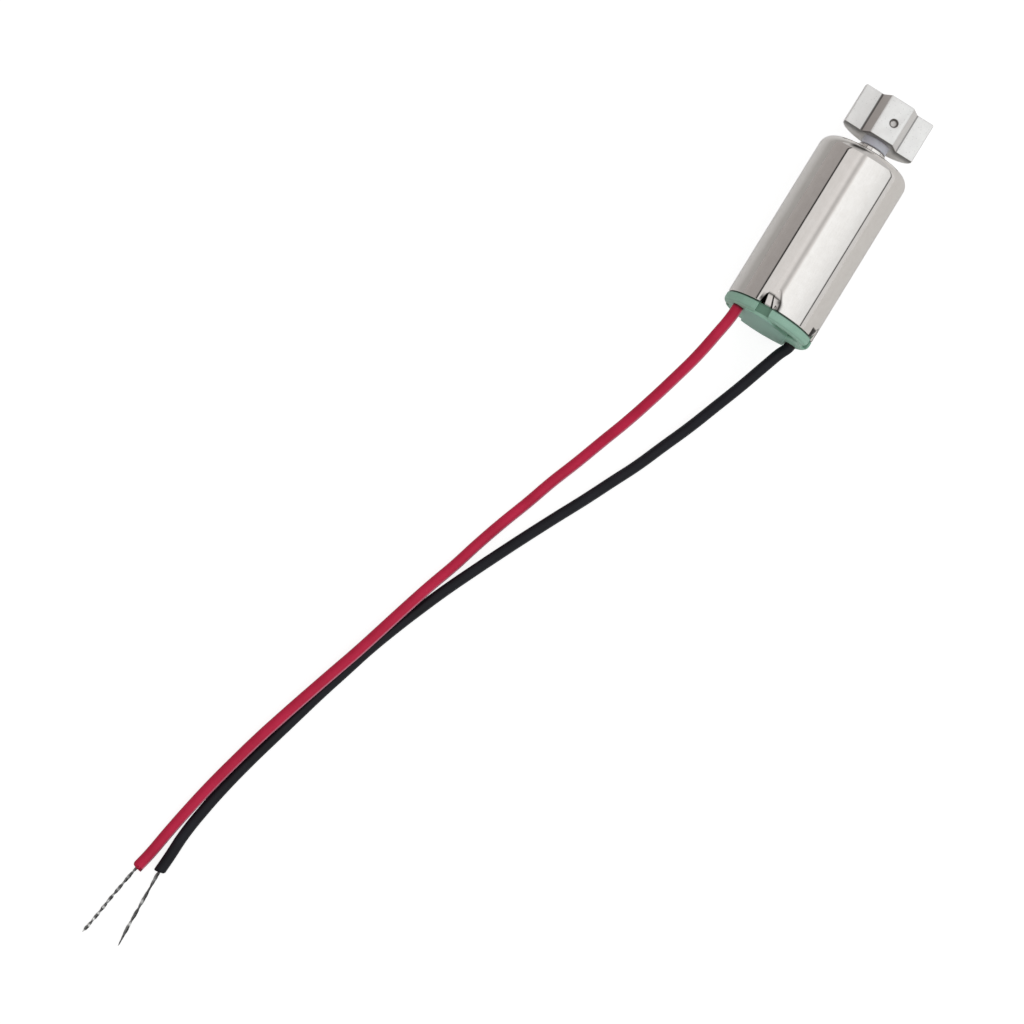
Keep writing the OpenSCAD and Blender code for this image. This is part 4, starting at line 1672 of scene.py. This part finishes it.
@dataclass
class LightTent:
    """A long tent of soft light over the motor, which only lights and reflections see.

    Levels run by roll, in degrees from the top towards -Y. Each share of warmth holds up to its roll.
    """

    radius: float = 0.34
    half_length: float = 0.3
    levels: tuple[tuple[float, float], ...] = (
        (-90.0, 0.375), (-70.0, 0.345), (-53.0, 0.34), (-51.2, 0.3), (-50.8, 0.035), (-47.0, 0.035),
        (-46.6, 0.7), (-24.0, 0.715), (-17.0, 0.765), (-14.5, 0.75), (-12.0, 0.69), (-9.6, 0.57),
        (-7.2, 0.51), (-4.8, 0.55), (-2.4, 0.64), (0.0, 0.82), (2.4, 0.99), (4.8, 1.03), (14.5, 1.0),
        (36.0, 0.97), (51.5, 0.91), (62.5, 0.85), (75.8, 0.82), (76.1, 0.04), (79.7, 0.04), (80.0, 0.67),
        (90.0, 0.67),
    )
    warmth: tuple[tuple[float, float], ...] = ((-48.0, 0.045), (0.0, 0.01), (76.0, -0.022), (91.0, 0.0))
    strength: float = 1.2
    end_levels: tuple[float, float] = (0.42, 0.55)

    def _tones(self) -> list[tuple[float, Colour]]:
        """The levels as a ramp's stops, each warmer or cooler by the warmth up to its roll."""
        stops = []
        for angle, value in self.levels:
            warm = next(share for limit, share in self.warmth if angle <= limit)
            grey = value / self.strength
            stops.append((angle / 360 + 0.5, (grey * (1 + warm), grey, grey * (1 - warm * 0.4))))
        return stops

    @staticmethod
    def _glow(board: Board, tone: Any, strength: float) -> bpy.types.Material:
        """Ends a board in a plain emitter."""
        glow = board.add("ShaderNodeEmission", {}, {"Color": tone, "Strength": strength})
        board.tree.links.new(glow.socket, board.output.inputs["Surface"])
        return board.material

    def build(self) -> None:
        """Makes the tent's cover, whose level follows the roll, and its two plain ends."""
        board = Board("tent_glow")
        _, across, up = board.axes()
        tone = board.ramp((0.0 - across).angle_from(up) / TURN + 0.5, self._tones())
        reach, radius = self.half_length / MM, self.radius / MM
        cover = Blank()
        cover.bm.edges.new([cover.bm.verts.new((x, 0, AXIS_Z + radius)) for x in (-reach, reach)])
        cover.roll(cover.bm.verts[:], -90)
        cover.turn(90, TURN / 2)
        self._hide(cover.piece("tent_cover"), self._glow(board, tone, self.strength))
        for name, x, level in zip(("rear", "front"), (-reach, reach), self.end_levels):
            end = Blank()
            disc = bmesh.ops.create_circle(end.bm, cap_ends=True, segments=64, radius=radius)["verts"]
            bmesh.ops.rotate(end.bm, cent=(0, 0, 0), matrix=QUARTER_TURN, verts=disc)
            bmesh.ops.translate(end.bm, vec=(x, 0, AXIS_Z), verts=disc)
            grey = (level, level, level, 1.0)
            self._hide(end.piece(f"tent_end_{name}"), self._glow(Board(f"end_glow_{name}"), grey, 1.0))

    @staticmethod
    def _hide(panel: bpy.types.Object, material: bpy.types.Material) -> None:
        """Gives a panel its glow and hides it from direct view."""
        panel.data.materials.append(material)
        panel.visible_camera = False


@dataclass
class Table:
    """The pale surface: a bright sheet that is only seen, and two duller ones just below it for reflections.

    The duller ones lie on either side of the shaft, and one is brighter near the motor.
    """

    half: float = 3000.0
    below: tuple[float, float] = (0.02, 0.04)
    seen_level: float = 0.84
    seen_tint: float = 0.32
    bounce_tints: tuple[float, float] = (0.56, 0.855)
    near_gains: tuple[float, float] = (0.42, 0.0)
    near_span: tuple[float, float] = (4.0, 22.0)

    def build(self) -> None:
        """Makes the three sheets."""
        white = (1.0, 1.0, 1.0)
        shown = Board("table_seen").surface(
            Base_Color=(self.seen_tint,) * 3,
            Roughness=0.9,
            Emission_Color=white,
            Emission_Strength=self.seen_level,
        )
        seen = self._sheet("table_top", self.below[0], (-self.half, self.half), shown)
        seen.visible_glossy = seen.visible_diffuse = seen.visible_shadow = seen.visible_transmission = False
        sides = zip(("left", "right"), (1, -1), self.bounce_tints, self.near_gains)
        for name, side, tint, gain in sides:
            board = Board(f"table_bounce_{name}")
            away = board.axes()[1] * side
            near = board.step(away, self.near_span[1], self.near_span[0]) ** 2.0 * (gain / (1 - tint))
            tone = board.blend(near, (tint, tint * 0.985, tint * 0.965), white)
            span = tuple(sorted((0.0, side * self.half)))
            dull = board.surface(Base_Color=tone, Roughness=0.95)
            self._sheet(f"table_bounce_{name}", self.below[1], span, dull).visible_camera = False

    def _sheet(
        self, name: str, below: float, span: tuple[float, float], material: bpy.types.Material
    ) -> bpy.types.Object:
        """One flat sheet between two places across."""
        low, high = span
        blank = Blank()
        made = bmesh.ops.create_grid(blank.bm, x_segments=1, y_segments=1, size=1.0)["verts"]
        bmesh.ops.scale(blank.bm, vec=(self.half, (high - low) / 2, 1), verts=made)
        bmesh.ops.translate(blank.bm, vec=(0, (low + high) / 2, -below), verts=made)
        sheet = blank.piece(name)
        sheet.data.materials.append(material)
        return sheet


def light_air(level: float) -> None:
    """Fills the world with one pale level."""
    world = bpy.data.worlds.new("air")
    world.use_nodes = True
    world.node_tree.nodes["Background"].inputs["Color"].default_value = (level, level, level, 1.0)
    bpy.context.scene.world = world


def main() -> None:
    """Builds the motor's looks piece by piece."""
    logging.basicConfig(level=logging.INFO, format="%(message)s")
    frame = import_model()
    bpy.context.scene.view_settings.view_transform = "Standard"
    Viewpoint().build()
    dresser = Dresser()
    dresser.frame(frame)
    Lead(
        "red", exit_yz=(1.929, 4.253), route=RED_ROUTE, bare=RED_STRANDS, lay=1.56, cut_slant=2.0,
        taper_from=0.95, end_round=0.2,
    ).build(dresser)
    Lead(
        "black", exit_yz=(-1.929, 1.747), route=BLACK_ROUTE, bare=BLACK_STRANDS, lay=2.4, cut_slant=-14.0,
        taper_from=0.8, glints=(2.05, 1.55, 14.0),
    ).build(dresser)
    Can().build(dresser)
    EndCap().build(dresser)
    Counterweight().build(dresser)
    Spindle().build(dresser)
    LightTent().build()
    Table().build()
    light_air(0.97)
    LOG.info("size written")


if __name__ == "__main__":
    main()
